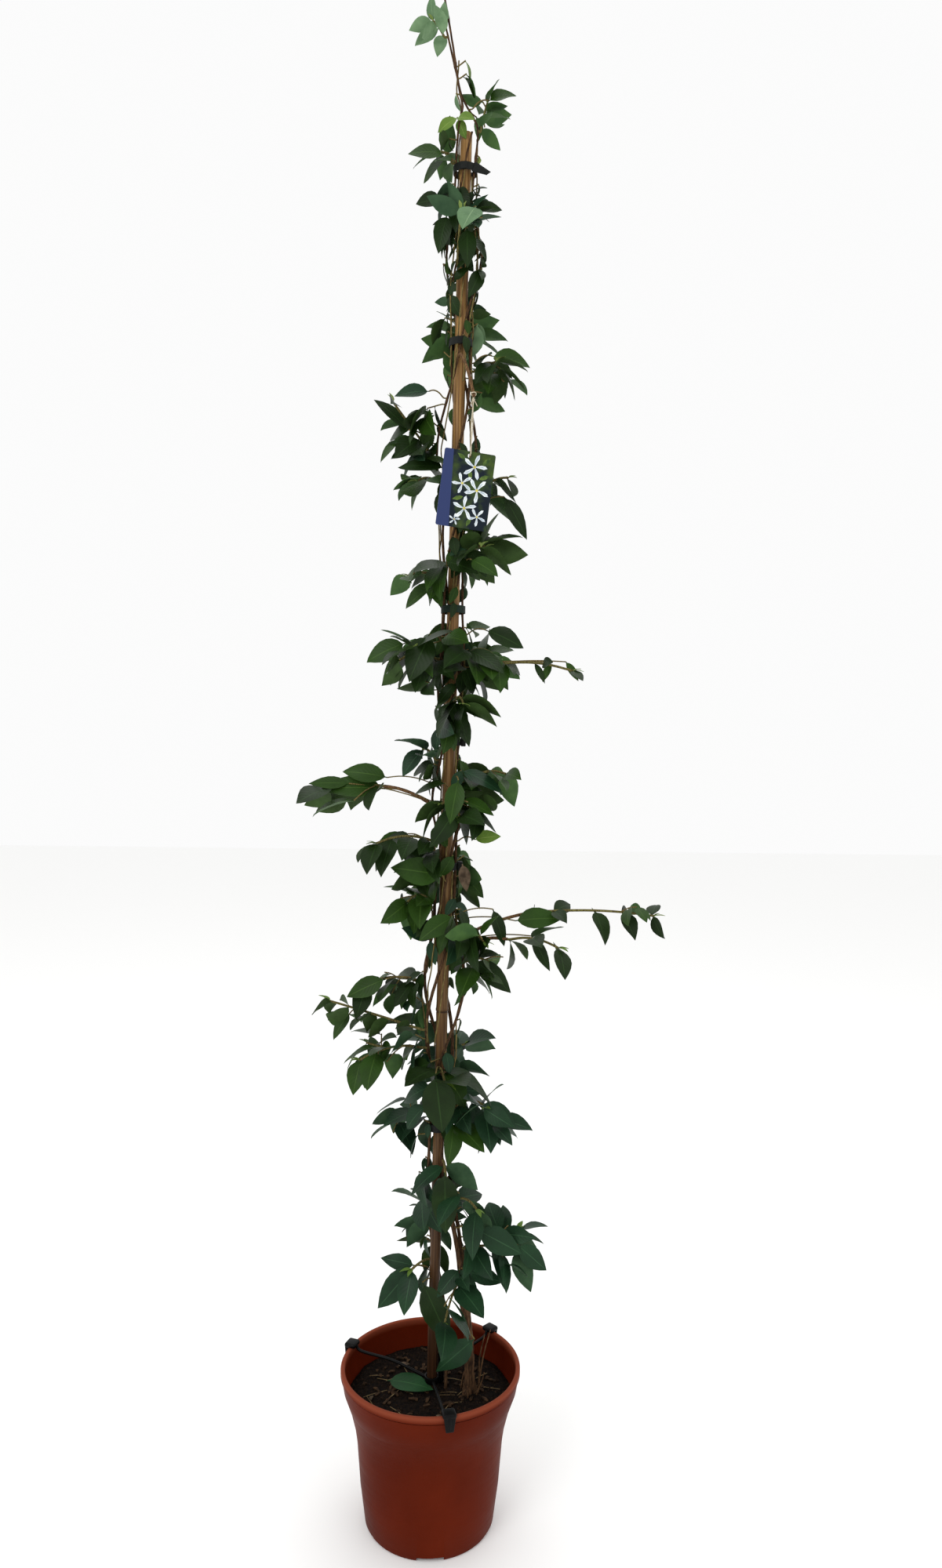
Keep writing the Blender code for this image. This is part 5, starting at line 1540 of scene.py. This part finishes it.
def bladeShape(leaf, dice):
    root, along, faceUp, length, width = leaf
    look = bladeLook
    side = along.cross(faceUp).normalized()
    lift = side.cross(along).normalized()
    fold = dice.uniform(*look["folds"])
    curl = dice.uniform(*look["curls"])
    twist = dice.gauss(0, look["twist"])
    wave = dice.uniform(*look["waves"])
    phase = dice.uniform(0, fullTurn)
    thickest, shareOfLength, least = look["stalk"]
    petiole = min(thickest, shareOfLength * length + least)
    bow = length * leafShape["droop"]
    points, faces, slots = [], [], []
    for share in look["stations"]:
        half = bladeHalf(share, width, petiole)
        rise = bow * curl * (3 * share - 4 * share * share) / max(curl, 1)
        turn = twist * share
        axis = root + along * (length * share) + lift * rise
        over = side * cos(turn) + lift * sin(turn)
        above = lift * cos(turn) - side * sin(turn)
        if share < look["stalkEnd"]:
            thick, edges = look["thickness"][0], [look["stalkEdge"]] * 2
        else:
            thick = look["thickness"][1]
            edges = [fold * half + wave * half * sin(6.3 * share + phase + lag)
                     for lag in (0, look["edgeLag"])]
        points += [axis - over * half + above * edges[0], axis, axis + over * half + above * edges[1],
                   axis - above * thick]
    points.append(root + along * length - lift * (bow * max(curl, 1) * look["tipDrop"]))
    tip = len(points) - 1
    for ring in range(len(look["stations"]) - 1):
        # face and back are cut by the same diagonals, so that neither shows through the other
        left, axis, right, belly = range(4 * ring, 4 * ring + 4)
        nextLeft, nextAxis, nextRight, nextBelly = range(4 * ring + 4, 4 * ring + 8)
        faces += [(left, axis, nextAxis), (left, nextAxis, nextLeft),
                  (axis, right, nextAxis), (right, nextRight, nextAxis),
                  (right, belly, nextBelly), (right, nextBelly, nextRight),
                  (belly, left, nextBelly), (left, nextLeft, nextBelly)]
        slots += [0, 0, 0, 0, 1, 1, 1, 1]
    last = tip - 4
    faces += [(last + i, last + (i + 1) % 4, tip) for i in range(4)]
    faces.append((3, 2, 1, 0))
    return points, faces, slots + [0, 0, 1, 1, 1]


def dressLeaves(name, leaves, finishes, seed):
    # the blades of one colour as one mesh; UV runs along and across each
    dice = random.Random(seed)
    piece = joinedMesh(name, [bladeShape(leaf, dice) for leaf in leaves], finishes)
    layer = piece.data.uv_layers.new(name="blade")
    spots = [(station, side) for station in bladeLook["stations"] for side in (0, 0.5, 1, 0.5)]
    spots.append((1, 0.5))
    for corner in piece.data.loops:
        layer.data[corner.index].uv = spots[corner.vertex_index % len(spots)]
    smoothByAngle(piece, 62)
    return piece


# leaves that stand out of the rest, each on its own twig from the nearest stem
keySprays = {
    "arch": 0.004, "facing": -90, "facingLift": 0.55,
    # name, height, bearing, reach and rise of the twig; bearing, dip, length, width for its length and
    # kind of the leaf at its end
    "rows": (
        ("over the rim", 0.26, -55, 0.06, -0.01, 190, 38, 0.06, 0.48, "cool"),
        ("foot left", 0.305, 215, 0.03, 0.015, 190, 48, 0.068, 0.46, "cool"),
        ("foot middle", 0.295, 240, 0.034, 0.012, -20, 62, 0.076, 0.44, "dark"),
        ("foot flat", 0.3, 200, 0.026, 0.016, 175, -10, 0.044, 0.46, "cool"),
        ("low right", 0.372, -35, 0.03, 0.005, 0, 28, 0.062, 0.52, "cool"),
        ("low right end", 0.37, -15, 0.07, -0.015, 5, 42, 0.05, 0.5, "cool"),
        ("low front", 0.455, -85, 0.03, 0, -80, 80, 0.072, 0.46, "dark"),
        ("tongue", 0.575, -95, 0.03, 0, -50, 78, 0.068, 0.6, "dark"),
        ("left low pair", 0.675, 196, 0.045, 0.004, 184, 24, 0.052, 0.48, "mid"),
        ("right droop", 0.7, -40, 0.014, 0.004, -10, 40, 0.06, 0.44, "dark"),
        ("right hanging", 0.725, -8, 0.085, 0.008, -20, 60, 0.048, 0.32, "dark"),
        ("right broad", 0.75, -5, 0.07, 0, 2, -4, 0.06, 0.46, "mid"),
        ("right drop", 0.76, -10, 0.044, 0.008, -5, 72, 0.048, 0.34, "dark"),
        ("middle young", 0.85, -45, 0.028, 0.004, 0, -8, 0.032, 0.56, "young"),
        ("left spray low", 0.898, 184, 0.054, 0.014, 182, 0, 0.082, 0.38, "mid"),
        ("left spray high", 0.92, 184, 0.052, 0.006, 178, -8, 0.056, 0.46, "mid"),
        ("left spray end", 0.896, 184, 0.098, 0.022, 178, 0, 0.05, 0.36, "mid"),
        ("middle pale", 0.925, -80, 0.024, 0, 240, 70, 0.054, 0.44, "mid"),
        ("left end", 1.08, 190, 0.04, 0.008, 182, 25, 0.052, 0.56, "mid"),
        ("left broad", 1.09, 235, 0.024, 0.006, 215, 62, 0.062, 0.58, "dark"),
        ("right lance", 1.1, -30, 0.026, 0.004, -8, 24, 0.05, 0.5, "dark"),
        ("sprig end", 1.06, 2, 0.12, 0.008, 0, 55, 0.028, 0.36, "mid"),
        ("sprig middle", 1.06, 1, 0.102, 0.007, 190, 66, 0.026, 0.36, "mid"),
        ("sprig inner", 1.06, 0, 0.082, 0.006, -10, 62, 0.028, 0.32, "dark"),
        ("bright middle", 1.18, -70, 0.03, 0.004, -25, 30, 0.04, 0.62, "mid"),
        ("right long", 1.255, -15, 0.035, 0.01, 0, 60, 0.058, 0.32, "dark"),
        ("left long", 1.33, 185, 0.03, 0.015, 180, -42, 0.056, 0.3, "dark"),
        ("left pale", 1.38, 215, 0.02, 0.004, 190, 10, 0.042, 0.58, "cool"),
        ("right arch", 1.425, -20, 0.022, 0.006, 0, 14, 0.048, 0.58, "mid"),
        ("upper pale", 1.585, -70, 0.026, 0.004, 235, 52, 0.042, 0.72, "grey"),
        # these three dark leaves at the front of the upper column are painted shade there
        ("upper front high", 1.615, -90, 0.01, 0, -100, 82, 0.05, 0.46, "dark"),
        ("upper front low", 1.57, -75, 0.012, 0, -80, 84, 0.046, 0.48, "dark"),
        ("upper front left", 1.59, -120, 0.01, 0, 215, 76, 0.048, 0.46, "dark"),
        ("upper left", 1.6, 230, 0.016, 0.004, 185, 8, 0.032, 0.76, "dark"),
        ("upper oval", 1.66, 215, 0.014, 0.004, 182, 0, 0.042, 0.68, "mid"),
        ("upper right", 1.725, -20, 0.02, 0.006, 0, -12, 0.034, 0.7, "mid"),
    ),
}


def growKeySprays():
    shape = keySprays
    twigs, leaves = [], []
    forward = heading(shape["facing"]) + up * shape["facingLift"]
    for name, height, bearing, reach, rise, pointing, dip, length, wide, kind in shape["rows"]:
        foot = footOnStem(height, bearing, 0)
        path = limbPath(foot, bearing, reach, rise, shape["arch"], 0, leafShape["twigSteps"])
        slope = radians(dip)
        along = heading(pointing) * cos(slope) - up * sin(slope)
        faceUp = squareTo(along, forward)
        leaf = (path[-1], along, faceUp, length, wide * length)
        if not leafInReach(leaf, massBoxes.values()) or not pathInReach(path, massBoxes.values()):
            print("key spray left out, beyond the masses' reach:", name)
            continue
        twigs.append((sunk(path, fineShape["footSunk"]), [fineShape["twig"]] * (len(path) + 1)))
        leaves.append((leaf, kind))
    return twigs, leaves


def touches(leaf, trees):
    tree = BVHTree.FromPolygons(*plainLeaf(*leaf, trim=fineShape["hangStalk"]))
    return any(tree.overlap(other) for other in trees)


fallenShape = {
    "seed": 43, "foot": (-0.054, 0.006), "tip": (0.004, -0.01), "width": 0.029, "lift": 0.0065, "lean": 0.25,
    "scraps": 7, "wallClear": 0.022, "scrapLift": 0.0022, "scrapClear": 0.04, "scrapRises": (-0.05, 0.35),
    "scrapSizes": (0.009, 0.018), "scrapTilt": 0.5, "scrapWidth": 0.5,
    # the dried leaf under a tie: height, place beside the cane, heading, face, length and width
    "caughtHeight": 0.822, "caughtAside": (0.02, -0.015, 0), "caughtHang": (0.18, -0.12, -1),
    "caughtFace": (0.2, -1, 0.1), "caughtSize": (0.034, 0.015),
}


def makeFreshLeaf():
    # one green leaf lying on the soil; gives the middle of it
    shape = fallenShape
    start, end = (Vector((x, y, soilHeight(x, y) + shape["lift"])) for x, y in (shape["foot"], shape["tip"]))
    along = (end - start).normalized()
    faceUp = up + heading(keySprays["facing"]) * shape["lean"]
    faceUp = squareTo(along, faceUp)
    fresh = (start, along, faceUp, (end - start).length, shape["width"])
    finishes = [leafSkin("fallenLeafFace", "#17341b", "#1f4424", "#375f35", 0.42),
                dullSkin("fallenLeafBack", "#35502e", "#4c6a3c", 16.67 * mm, 0.62, 0.1 * mm)]
    settle(dressLeaves("fallenLeaf", [fresh], finishes, 90), None)
    return start.lerp(end, 0.5)


def makeStubs():
    shape = soilShape
    stubs = []
    for bearing, away, height, lean in shape["stubs"]:
        foot = Vector((*trunkShape["foot"], 0)) + heading(bearing) * away
        foot.z = soilHeight(foot.x, foot.y) - shape["stubSunk"]
        top = foot + heading(bearing) * lean + up * height
        bend = foot.lerp(top, 0.5) + heading(bearing + 90) * (shape["stubBend"] * height)
        path = softPath([foot, bend, top], 5)
        stubs.append((path, [blend(*shape["stubRadii"], i / (len(path) - 1)) for i in range(len(path))]))
    piece = sweepPaths("dryStubs", stubs, 2)
    roughen(piece, 0.0002, 0.003, 6)
    settle(piece, [barkSkin("dryStubBark", "#2e1e14", "#6e5238", 1.4 * mm, 0.4 * mm)])


def makeScraps(clearSpot):
    # dry scraps on the soil, clear of the fresh leaf, and one caught under a tie
    shape = fallenShape
    dice = random.Random(shape["seed"])
    scraps = []
    for _ in range(shape["scraps"]):
        spot = scatterSpot(dice, shape["wallClear"]) + up * shape["scrapLift"]
        if (spot - clearSpot).length < shape["scrapClear"]:
            continue
        along = (heading(dice.uniform(0, 360)) + up * dice.uniform(*shape["scrapRises"])).normalized()
        face = squareTo(along, up)
        size = dice.uniform(*shape["scrapSizes"])
        face = Matrix.Rotation(dice.gauss(0, shape["scrapTilt"]), 3, along) @ face
        scraps.append((spot, along, face, size, shape["scrapWidth"] * size))
    caught = caneAt(shape["caughtHeight"]) + Vector(shape["caughtAside"])
    hang, face = (Vector(shape[name]).normalized() for name in ("caughtHang", "caughtFace"))
    scraps.append((caught, hang, face, *shape["caughtSize"]))
    dry = [dullSkin("driedLeaf", "#33291f", "#5f5040", 8.333 * mm, 0.85, 0.5 * mm),
           dullSkin("driedLeafBack", "#3f332a", "#6c5d4e", 8.333 * mm, 0.9, 0.5 * mm)]
    settle(dressLeaves("driedLeaves", scraps, dry, 91), None)
    print("fallen leaves made")


# which colour a spray has: a share for each kind, by height; some shares deal painted shade, sheen and
# highlight
sprayKinds = {
    "names": ("dark", "cool", "mid", "grey", "young"), "firstSeed": 70,
    # face: finish, two greens, rib, roughness; back: finish, two greens
    "skins": {
        "dark": (("waxyDarkLeaf", "#14230a", "#1b2f0e", "#2e4820", 0.4),
                 ("darkLeafBack", "#293b19", "#344a22")),
        # cool: a blue-green that is in part painted sheen, dealt mostly to the low leaves
        "cool": (("waxyBlueGreenLeaf", "#152a1a", "#1e3b23", "#385a3b", 0.41),
                 ("coolLeafBack", "#2a422c", "#395338")),
        "mid": (("waxyGreenLeaf", "#1f350c", "#294512", "#456127", 0.41),
                ("greenLeafBack", "#34502a", "#446232")),
        # grey: a pale grey-green that is painted highlight on the top leaves
        "grey": (("waxyGreyGreenLeaf", "#4a6747", "#6a8862", "#8ba57e", 0.46),
                 ("greyLeafBack", "#607d5a", "#7a9771")),
        "young": (("softYoungLeaf", "#4a6524", "#5f7a30", "#8c9f55", 0.44),
                  ("youngLeafBack", "#667b3d", "#839451")),
    },
    # painted shade: below 1.64 the upper column is dealt almost only dark leaves, where it stands in shadow
    "bands": ((0.62, (0.2, 0.74, 0.06, 0, 0)), (1, (0.5, 0.16, 0.34, 0, 0)),
              (1.48, (0.46, 0.06, 0.44, 0.02, 0.02)), (1.64, (0.84, 0.06, 0.08, 0.02, 0)),
              (1.76, (0.12, 0.04, 0.44, 0.26, 0.14)), (1.95, (0, 0, 0, 0.75, 0.25))),
}


def pickKind(height, dice):
    for top, shares in sprayKinds["bands"]:
        if height < top:
            return dice.choices(sprayKinds["names"], shares)[0]
    return "mid"


def growFoliage():
    kinds = {name: [] for name in sprayKinds["names"]}
    dice = random.Random(fineShape["seed"] + 1)
    masses = [(row, *growMass(row, limbs, standing)) for row in leafShape["rows"]]
    print("masses grown:", sum(len(leaves) for row, grown, leaves in masses), "leaves")
    twigs = []
    sprigs, keyLeaves = growKeySprays()
    keyTrees = [BVHTree.FromPolygons(*plainLeaf(*leaf)) for leaf, kind in keyLeaves]
    for leaf, kind in keyLeaves:
        kinds[kind].append(leaf)
        standing.add(plainLeaf(*leaf), "key spray")
    for row, grown, leaves in masses:
        box = [massBoxes[row[0]]]
        leaves = [leaf for leaf in leaves if not touches(leaf, keyTrees) and leafInReach(leaf, box)]
        fine, more, young = growFiner(row, grown, standing)
        kind = pickKind(sum(leaf[0].z for leaf in leaves) / max(len(leaves), 1), dice)
        kinds[kind] += leaves
        kinds["mid" if kind == "dark" else kind] += more
        kinds["young"] += young
        path, radii = grown[0]
        twigs += [(sunk(path, 0.8 * fineShape["footSunk"]), [radii[0]] + radii)] + grown[1:]
        sprigs += fine
    for label, bands, front in (("column", "columnBands", "frontShare"),
                                ("close", "closeBands", "closeFront")):
        column, columnLeaves = growColumn(label, fineShape[bands], fineShape[front], standing)
        sprigs += [(sunk(path, fineShape["footSunk"]), [radii[0]] + radii) for path, radii in column]
        for grown in columnLeaves:
            kinds[pickKind(grown[0][0].z, dice)] += grown
        print(label, "shoots:", len(column), "with", sum(len(grown) for grown in columnLeaves), "leaves")
    return kinds, twigs, sprigs + growWands()


def softSweep(path, radii, steps):
    # a rounded path and a radius for each of its points
    spread = []
    for low, high in zip(radii, radii[1:]):
        spread += [blend(low, high, k / steps) for k in range(steps)]
    return softPath(path, steps), spread + [radii[-1]]


def makeBoughs():
    wood = []
    for path, radii in limbs.values():
        path = sunk(path, fineShape["footSunk"])
        wood.append(softSweep(path, [radii[0]] * len(path), 4))
    piece = sweepPaths("boughs", wood, 4)
    roughen(piece, 0.0002, 0.004, 5)
    settle(piece, [barkSkin("twigBark", "#33241a", "#7a5c3d", 1.4 * mm, 0.4 * mm)], list(limbs))


def makeFoliage():
    kinds, twigs, sprigs = growFoliage()
    names = [row[0] for row in leafShape["rows"]]
    makeBoughs()
    for name, paths, roundness, skin in (
            ("twigs", twigs, 2, barkSkin("twigSkin", "#3a2b1b", "#6f6a3c", 1.2 * mm, 0.3 * mm)),
            ("fineTwigs", sprigs, 1, barkSkin("fineTwigSkin", "#43301f", "#7c7042", 1 * mm, 0.3 * mm))):
        piece = sweepPaths(name, [softSweep(path, radii, 3) for path, radii in paths], roundness)
        settle(piece, [skin], names)
    for index, kind in enumerate(sprayKinds["names"]):
        face, back = sprayKinds["skins"][kind]
        finishes = [leafSkin(*face), dullSkin(*back, 16.67 * mm, 0.62, 0.1 * mm)]
        piece = dressLeaves(kind + "Leaves", kinds[kind], finishes, sprayKinds["firstSeed"] + index)
        settle(piece, None, names)
        print(kind, "leaves:", len(kinds[kind]))


# plant label: plain card, generic star blossoms, cream cord
labelShape = {
    "size": (0.06, 0.088, 0.0012), "centre": (0.033, -0.045, 1.2634), "turn": (4, 6.5, 8),
    "hole": 0.0026, "holeInset": 0.005, "corner": 0.0022, "band": 0.013, "bandSlope": 0.06,
    "bandEdge": 0.0001,
    # print: how far it stands off the card, one blossom over the next, throat for a blossom, ink
    "printGap": 0.00008, "layer": 0.00003, "throat": 0.11, "ink": 0.000008,
    # cord: radius, strands at the hole, loop, knot and its rings, the two loose ends
    "cord": 0.0006, "stitch": 0.0012, "spread": 0.003, "loop": 0.0035, "knotDrop": 0.0068, "slack": 0.0012,
    "knotRings": 3, "ringGap": 0.0008, "ringRadius": 0.0012, "ringTilt": 0.0004,
    "ends": (0.6, -0.9), "endSize": (0.006, 0.0065),
    # blossoms: across, up from the card's middle, radius, turn
    "blossoms": ((0.007, 0.027, 0.015, 8), (-0.005, 0.007, 0.0125, 44), (0.013, 0.001, 0.015, -14),
                 (0.001, -0.021, 0.0145, 22), (0.017, -0.029, 0.011, 58), (-0.009, -0.035, 0.007, 15)),
    # leaves and buds printed behind them: across, up, length, turn
    "printedLeaves": ((0.016, 0.03, 0.013, 50), (-0.004, 0.034, 0.012, 150), (0.014, 0.014, 0.013, 25),
                      (-0.002, -0.008, 0.013, 200), (0.01, -0.03, 0.012, 250), (0.004, 0.012, 0.012, 100)),
}


def labelPlace():
    place = Matrix.Translation(labelShape["centre"])
    for angle, axis in zip(reversed(labelShape["turn"]), "ZYX"):
        place = place @ Matrix.Rotation(radians(angle), 4, axis)
    return place


def flatShape(outline, across, rise, size, turn, front, slot):
    # an outline in the card's plane, scaled, turned and put in its place
    angle = radians(turn)
    spots = []
    for far, wide in outline:
        x = across + size * (far * cos(angle) - wide * sin(angle))
        z = rise + size * (far * sin(angle) + wide * cos(angle))
        spots.append(Vector((x, front, z)))
    return spots, [tuple(range(len(spots)))], [slot]


def printShapes(front):
    # slim slanting petals, a cream throat, and leaves behind
    petal = ((0.1, -0.04), (0.4, -0.1), (0.72, -0.2), (1, -0.12), (0.86, 0.06), (0.55, 0.12),
             (0.1, 0.05))
    shade = ((0.12, -0.01), (0.42, -0.03), (0.8, -0.09), (0.6, 0.04), (0.12, 0.02))
    throat = [(cos(radians(45 * i)), sin(radians(45 * i))) for i in range(8)]
    leaf = ((0, 0), (0.25, -0.16), (0.6, -0.2), (1, 0), (0.6, 0.2), (0.25, 0.16))
    shape = labelShape
    thin = shape["layer"] / 3
    shapes = [flatShape(leaf, *printed, front, 2) for printed in shape["printedLeaves"]]
    for layer, (across, rise, size, turn) in enumerate(shape["blossoms"]):
        level = front - shape["layer"] * (layer + 1)
        for k in range(5):
            shapes.append(flatShape(petal, across, rise, size, turn + 72 * k, level, 0))
            shapes.append(flatShape(shade, across, rise, size, turn + 72 * k, level - thin, 3))
        shapes.append(flatShape(throat, across, rise, shape["throat"] * size, 0, level - 2 * thin, 1))
    return shapes


def makeCard(place):
    # rounded corners, a punched hole and a cut along the edge of the coloured band
    shape = labelShape
    width, height, thick = shape["size"]
    bpy.ops.mesh.primitive_cube_add(size=1)
    card = bpy.context.object
    card.name = "plantLabel"
    card.scale = (width, thick, height)
    bpy.ops.object.transform_apply(location=True, rotation=True, scale=True)
    bpy.ops.object.mode_set(mode="EDIT")
    bpy.ops.mesh.select_mode(type="EDGE")
    bpy.ops.mesh.select_all(action="DESELECT")
    edit = bmesh.from_edit_mesh(card.data)
    for edge in edit.edges:
        edge.select = abs(edge.verts[0].co.y - edge.verts[1].co.y) > thick / 2
    bmesh.update_edit_mesh(card.data)
    bpy.ops.mesh.bevel(offset=shape["corner"], segments=5, affect="EDGES")
    bpy.ops.object.mode_set(mode="OBJECT")
    hole = (0, 0, height / 2 - shape["holeInset"])
    bpy.ops.mesh.primitive_cylinder_add(vertices=32, radius=shape["hole"], depth=20 * mm, location=hole,
                                        rotation=(pi / 2, 0, 0))
    punch = bpy.context.object
    applyModifier(card, "BOOLEAN", {"operation": "DIFFERENCE", "solver": "EXACT", "object": punch})
    bpy.data.objects.remove(punch)
    makeActive(card)
    bandEnd = shape["band"] - width / 2
    bpy.ops.object.mode_set(mode="EDIT")
    for nudge in (-shape["bandEdge"], shape["bandEdge"]):
        bpy.ops.mesh.select_all(action="SELECT")
        bpy.ops.mesh.bisect(plane_co=(bandEnd + nudge, 0, 0), plane_no=(1, 0, shape["bandSlope"]))
    bpy.ops.object.mode_set(mode="OBJECT")
    band = card.data.attributes.new("band", "FLOAT", "POINT")
    for vertex in card.data.vertices:
        inBand = vertex.co.x + shape["bandSlope"] * vertex.co.z < bandEnd
        band.data[vertex.index].value = 1 if inBand else 0
    card.data.transform(place)
    smoothByAngle(card, 30)
    settle(card, [labelFilm()], ["label"])


def makePrint(place):
    shape = labelShape
    colours = (("White", "#bcc6cf", "#e6ebea", 6.25), ("Cream", "#a99a3c", "#d6c864", 11.11),
               ("Green", "#2c4423", "#647a34", 8.333), ("PetalShade", "#8f9fae", "#b9c5cb", 6.25))
    inks = [dullSkin("printed" + name, dark, light, size * mm, 0.4, 0.02 * mm)
            for name, dark, light, size in colours]
    shapes = printShapes(-shape["size"][2] / 2 - shape["printGap"])
    blossoms = joinedMesh("labelBlossoms", shapes, inks)
    blossoms.data.transform(place)
    applyModifier(blossoms, "SOLIDIFY", {"thickness": shape["ink"], "offset": 0})
    settle(blossoms, None, ["label"])


def makeCord(bough, place):
    # two strands from the hole to a knot under the bough, and a loop over it
    shape = labelShape
    top = shape["size"][1] / 2
    front = place @ Vector((0, -shape["spread"], top + shape["stitch"]))
    back = place @ Vector((0, shape["spread"], top + shape["stitch"]))
    along = (bough[-1] - bough[-2]).normalized()
    peg = bough[-1] - along * shape["loop"]
    over = peg + squareTo(along, up) * shape["loop"]
    side = along.cross(up).normalized()
    if side.dot(front - back) < 0:
        side = -side
    near, far = peg + side * shape["loop"], peg - side * shape["loop"]
    knot = peg - up * shape["knotDrop"]
    low = place @ Vector((0, 0, top - shape["holeInset"]))
    slack = side * shape["slack"]
    strand = [low, front, front.lerp(knot, 0.5) + slack, knot, near, over, far, knot,
              back.lerp(knot, 0.5) - slack, back, low]
    path = softPath(strand, 8)
    sweeps = [(path, [shape["cord"]] * len(path))]
    for turn in range(shape["knotRings"]):
        ring = []
        for bearing in range(0, 390, 30):
            tilt = shape["ringTilt"] * sin(radians(bearing))
            rise = up * (shape["ringGap"] * (turn - 1))
            ring.append(knot + rise + heading(bearing) * shape["ringRadius"] + up * tilt)
        sweeps.append((ring, [shape["cord"]] * len(ring)))
    wide, deep = shape["endSize"]
    for lean in shape["ends"]:
        end = knot + side * (wide * lean) - up * deep
        sweeps.append(([knot, knot.lerp(end, 0.5) + up * shape["slack"], end], [shape["cord"]] * 3))
    twine = dullSkin("creamTwine", "#a99c84", "#d8cfba", 1.111 * mm, 0.85, 0.1 * mm)
    settle(sweepPaths("labelCord", sweeps, 2), [twine], ["label"])


def makeLabel(bough):
    place = labelPlace()
    makeCard(place)
    makePrint(place)
    makeCord(bough, place)
    print("label made")


# studio: pale floor, soft lights and the camera
studio = {
    "floor": "#fbfbfa", "floorSize": 16, "floorLevel": -0.0002, "world": "#ffffff",
    "worldStrength": 0.97, "view": "Standard",
    # name, place, aim, size, power
    "lights": (("keyLight", (-1.5, -2.4, 2.5), (0, 0, 0.9), 1.4, 30),
               ("fillLight", (2, -1.9, 1.5), (0, 0, 0.8), 2, 6),
               ("topLight", (0.2, 0.8, 3.3), (0, 0, 1), 1.8, 16)),
    "cameraPlace": (0.0429, -1.3365, 0.9779), "pitch": -2.53, "roll": 0.6, "lens": 25.2, "sensor": 36,
}


def aimAt(thing, target):
    thing.rotation_euler = (Vector(target) - thing.location).to_track_quat("-Z", "Y").to_euler()


def makeStudio():
    bpy.ops.mesh.primitive_plane_add(size=studio["floorSize"], location=(0, 0, studio["floorLevel"]))
    floor = bpy.context.object
    floor.name = "studioFloor"
    floor.data.materials.append(studioPaint("paleStudioFloor", studio["floor"]))
    world = bpy.data.worlds.new("studioWorld")
    bpy.context.scene.world = world
    world.use_nodes = True
    background = world.node_tree.nodes["Background"]
    background.inputs["Color"].default_value = linearColour(studio["world"])
    background.inputs["Strength"].default_value = studio["worldStrength"]
    for name, place, target, size, power in studio["lights"]:
        bpy.ops.object.light_add(type="AREA", location=place)
        light = bpy.context.object
        light.name = name
        light.data.shape = "SQUARE"
        light.data.size = size
        light.data.energy = power
        aimAt(light, target)
    bpy.ops.object.camera_add(location=studio["cameraPlace"])
    camera = bpy.context.object
    camera.name = "studioCamera"
    pitch = Matrix.Rotation(radians(90 + studio["pitch"]), 3, "X")
    roll = Matrix.Rotation(radians(studio["roll"]), 3, "Z")
    camera.rotation_euler = (pitch @ roll).to_euler()
    camera.data.lens = studio["lens"]
    camera.data.sensor_width = studio["sensor"]
    bpy.context.scene.camera = camera
    bpy.context.scene.view_settings.view_transform = studio["view"]
    print("studio set")


makeStudio()
makePot()
makeSoil()
makeLitter()
makeCane()
makeHolder()
makeStems()
makeTrunk()
makeTies()
freshMiddle = makeFreshLeaf()
makeStubs()
makeScraps(freshMiddle)
makeFoliage()
makeLabel(limbs["bough_label"][0])
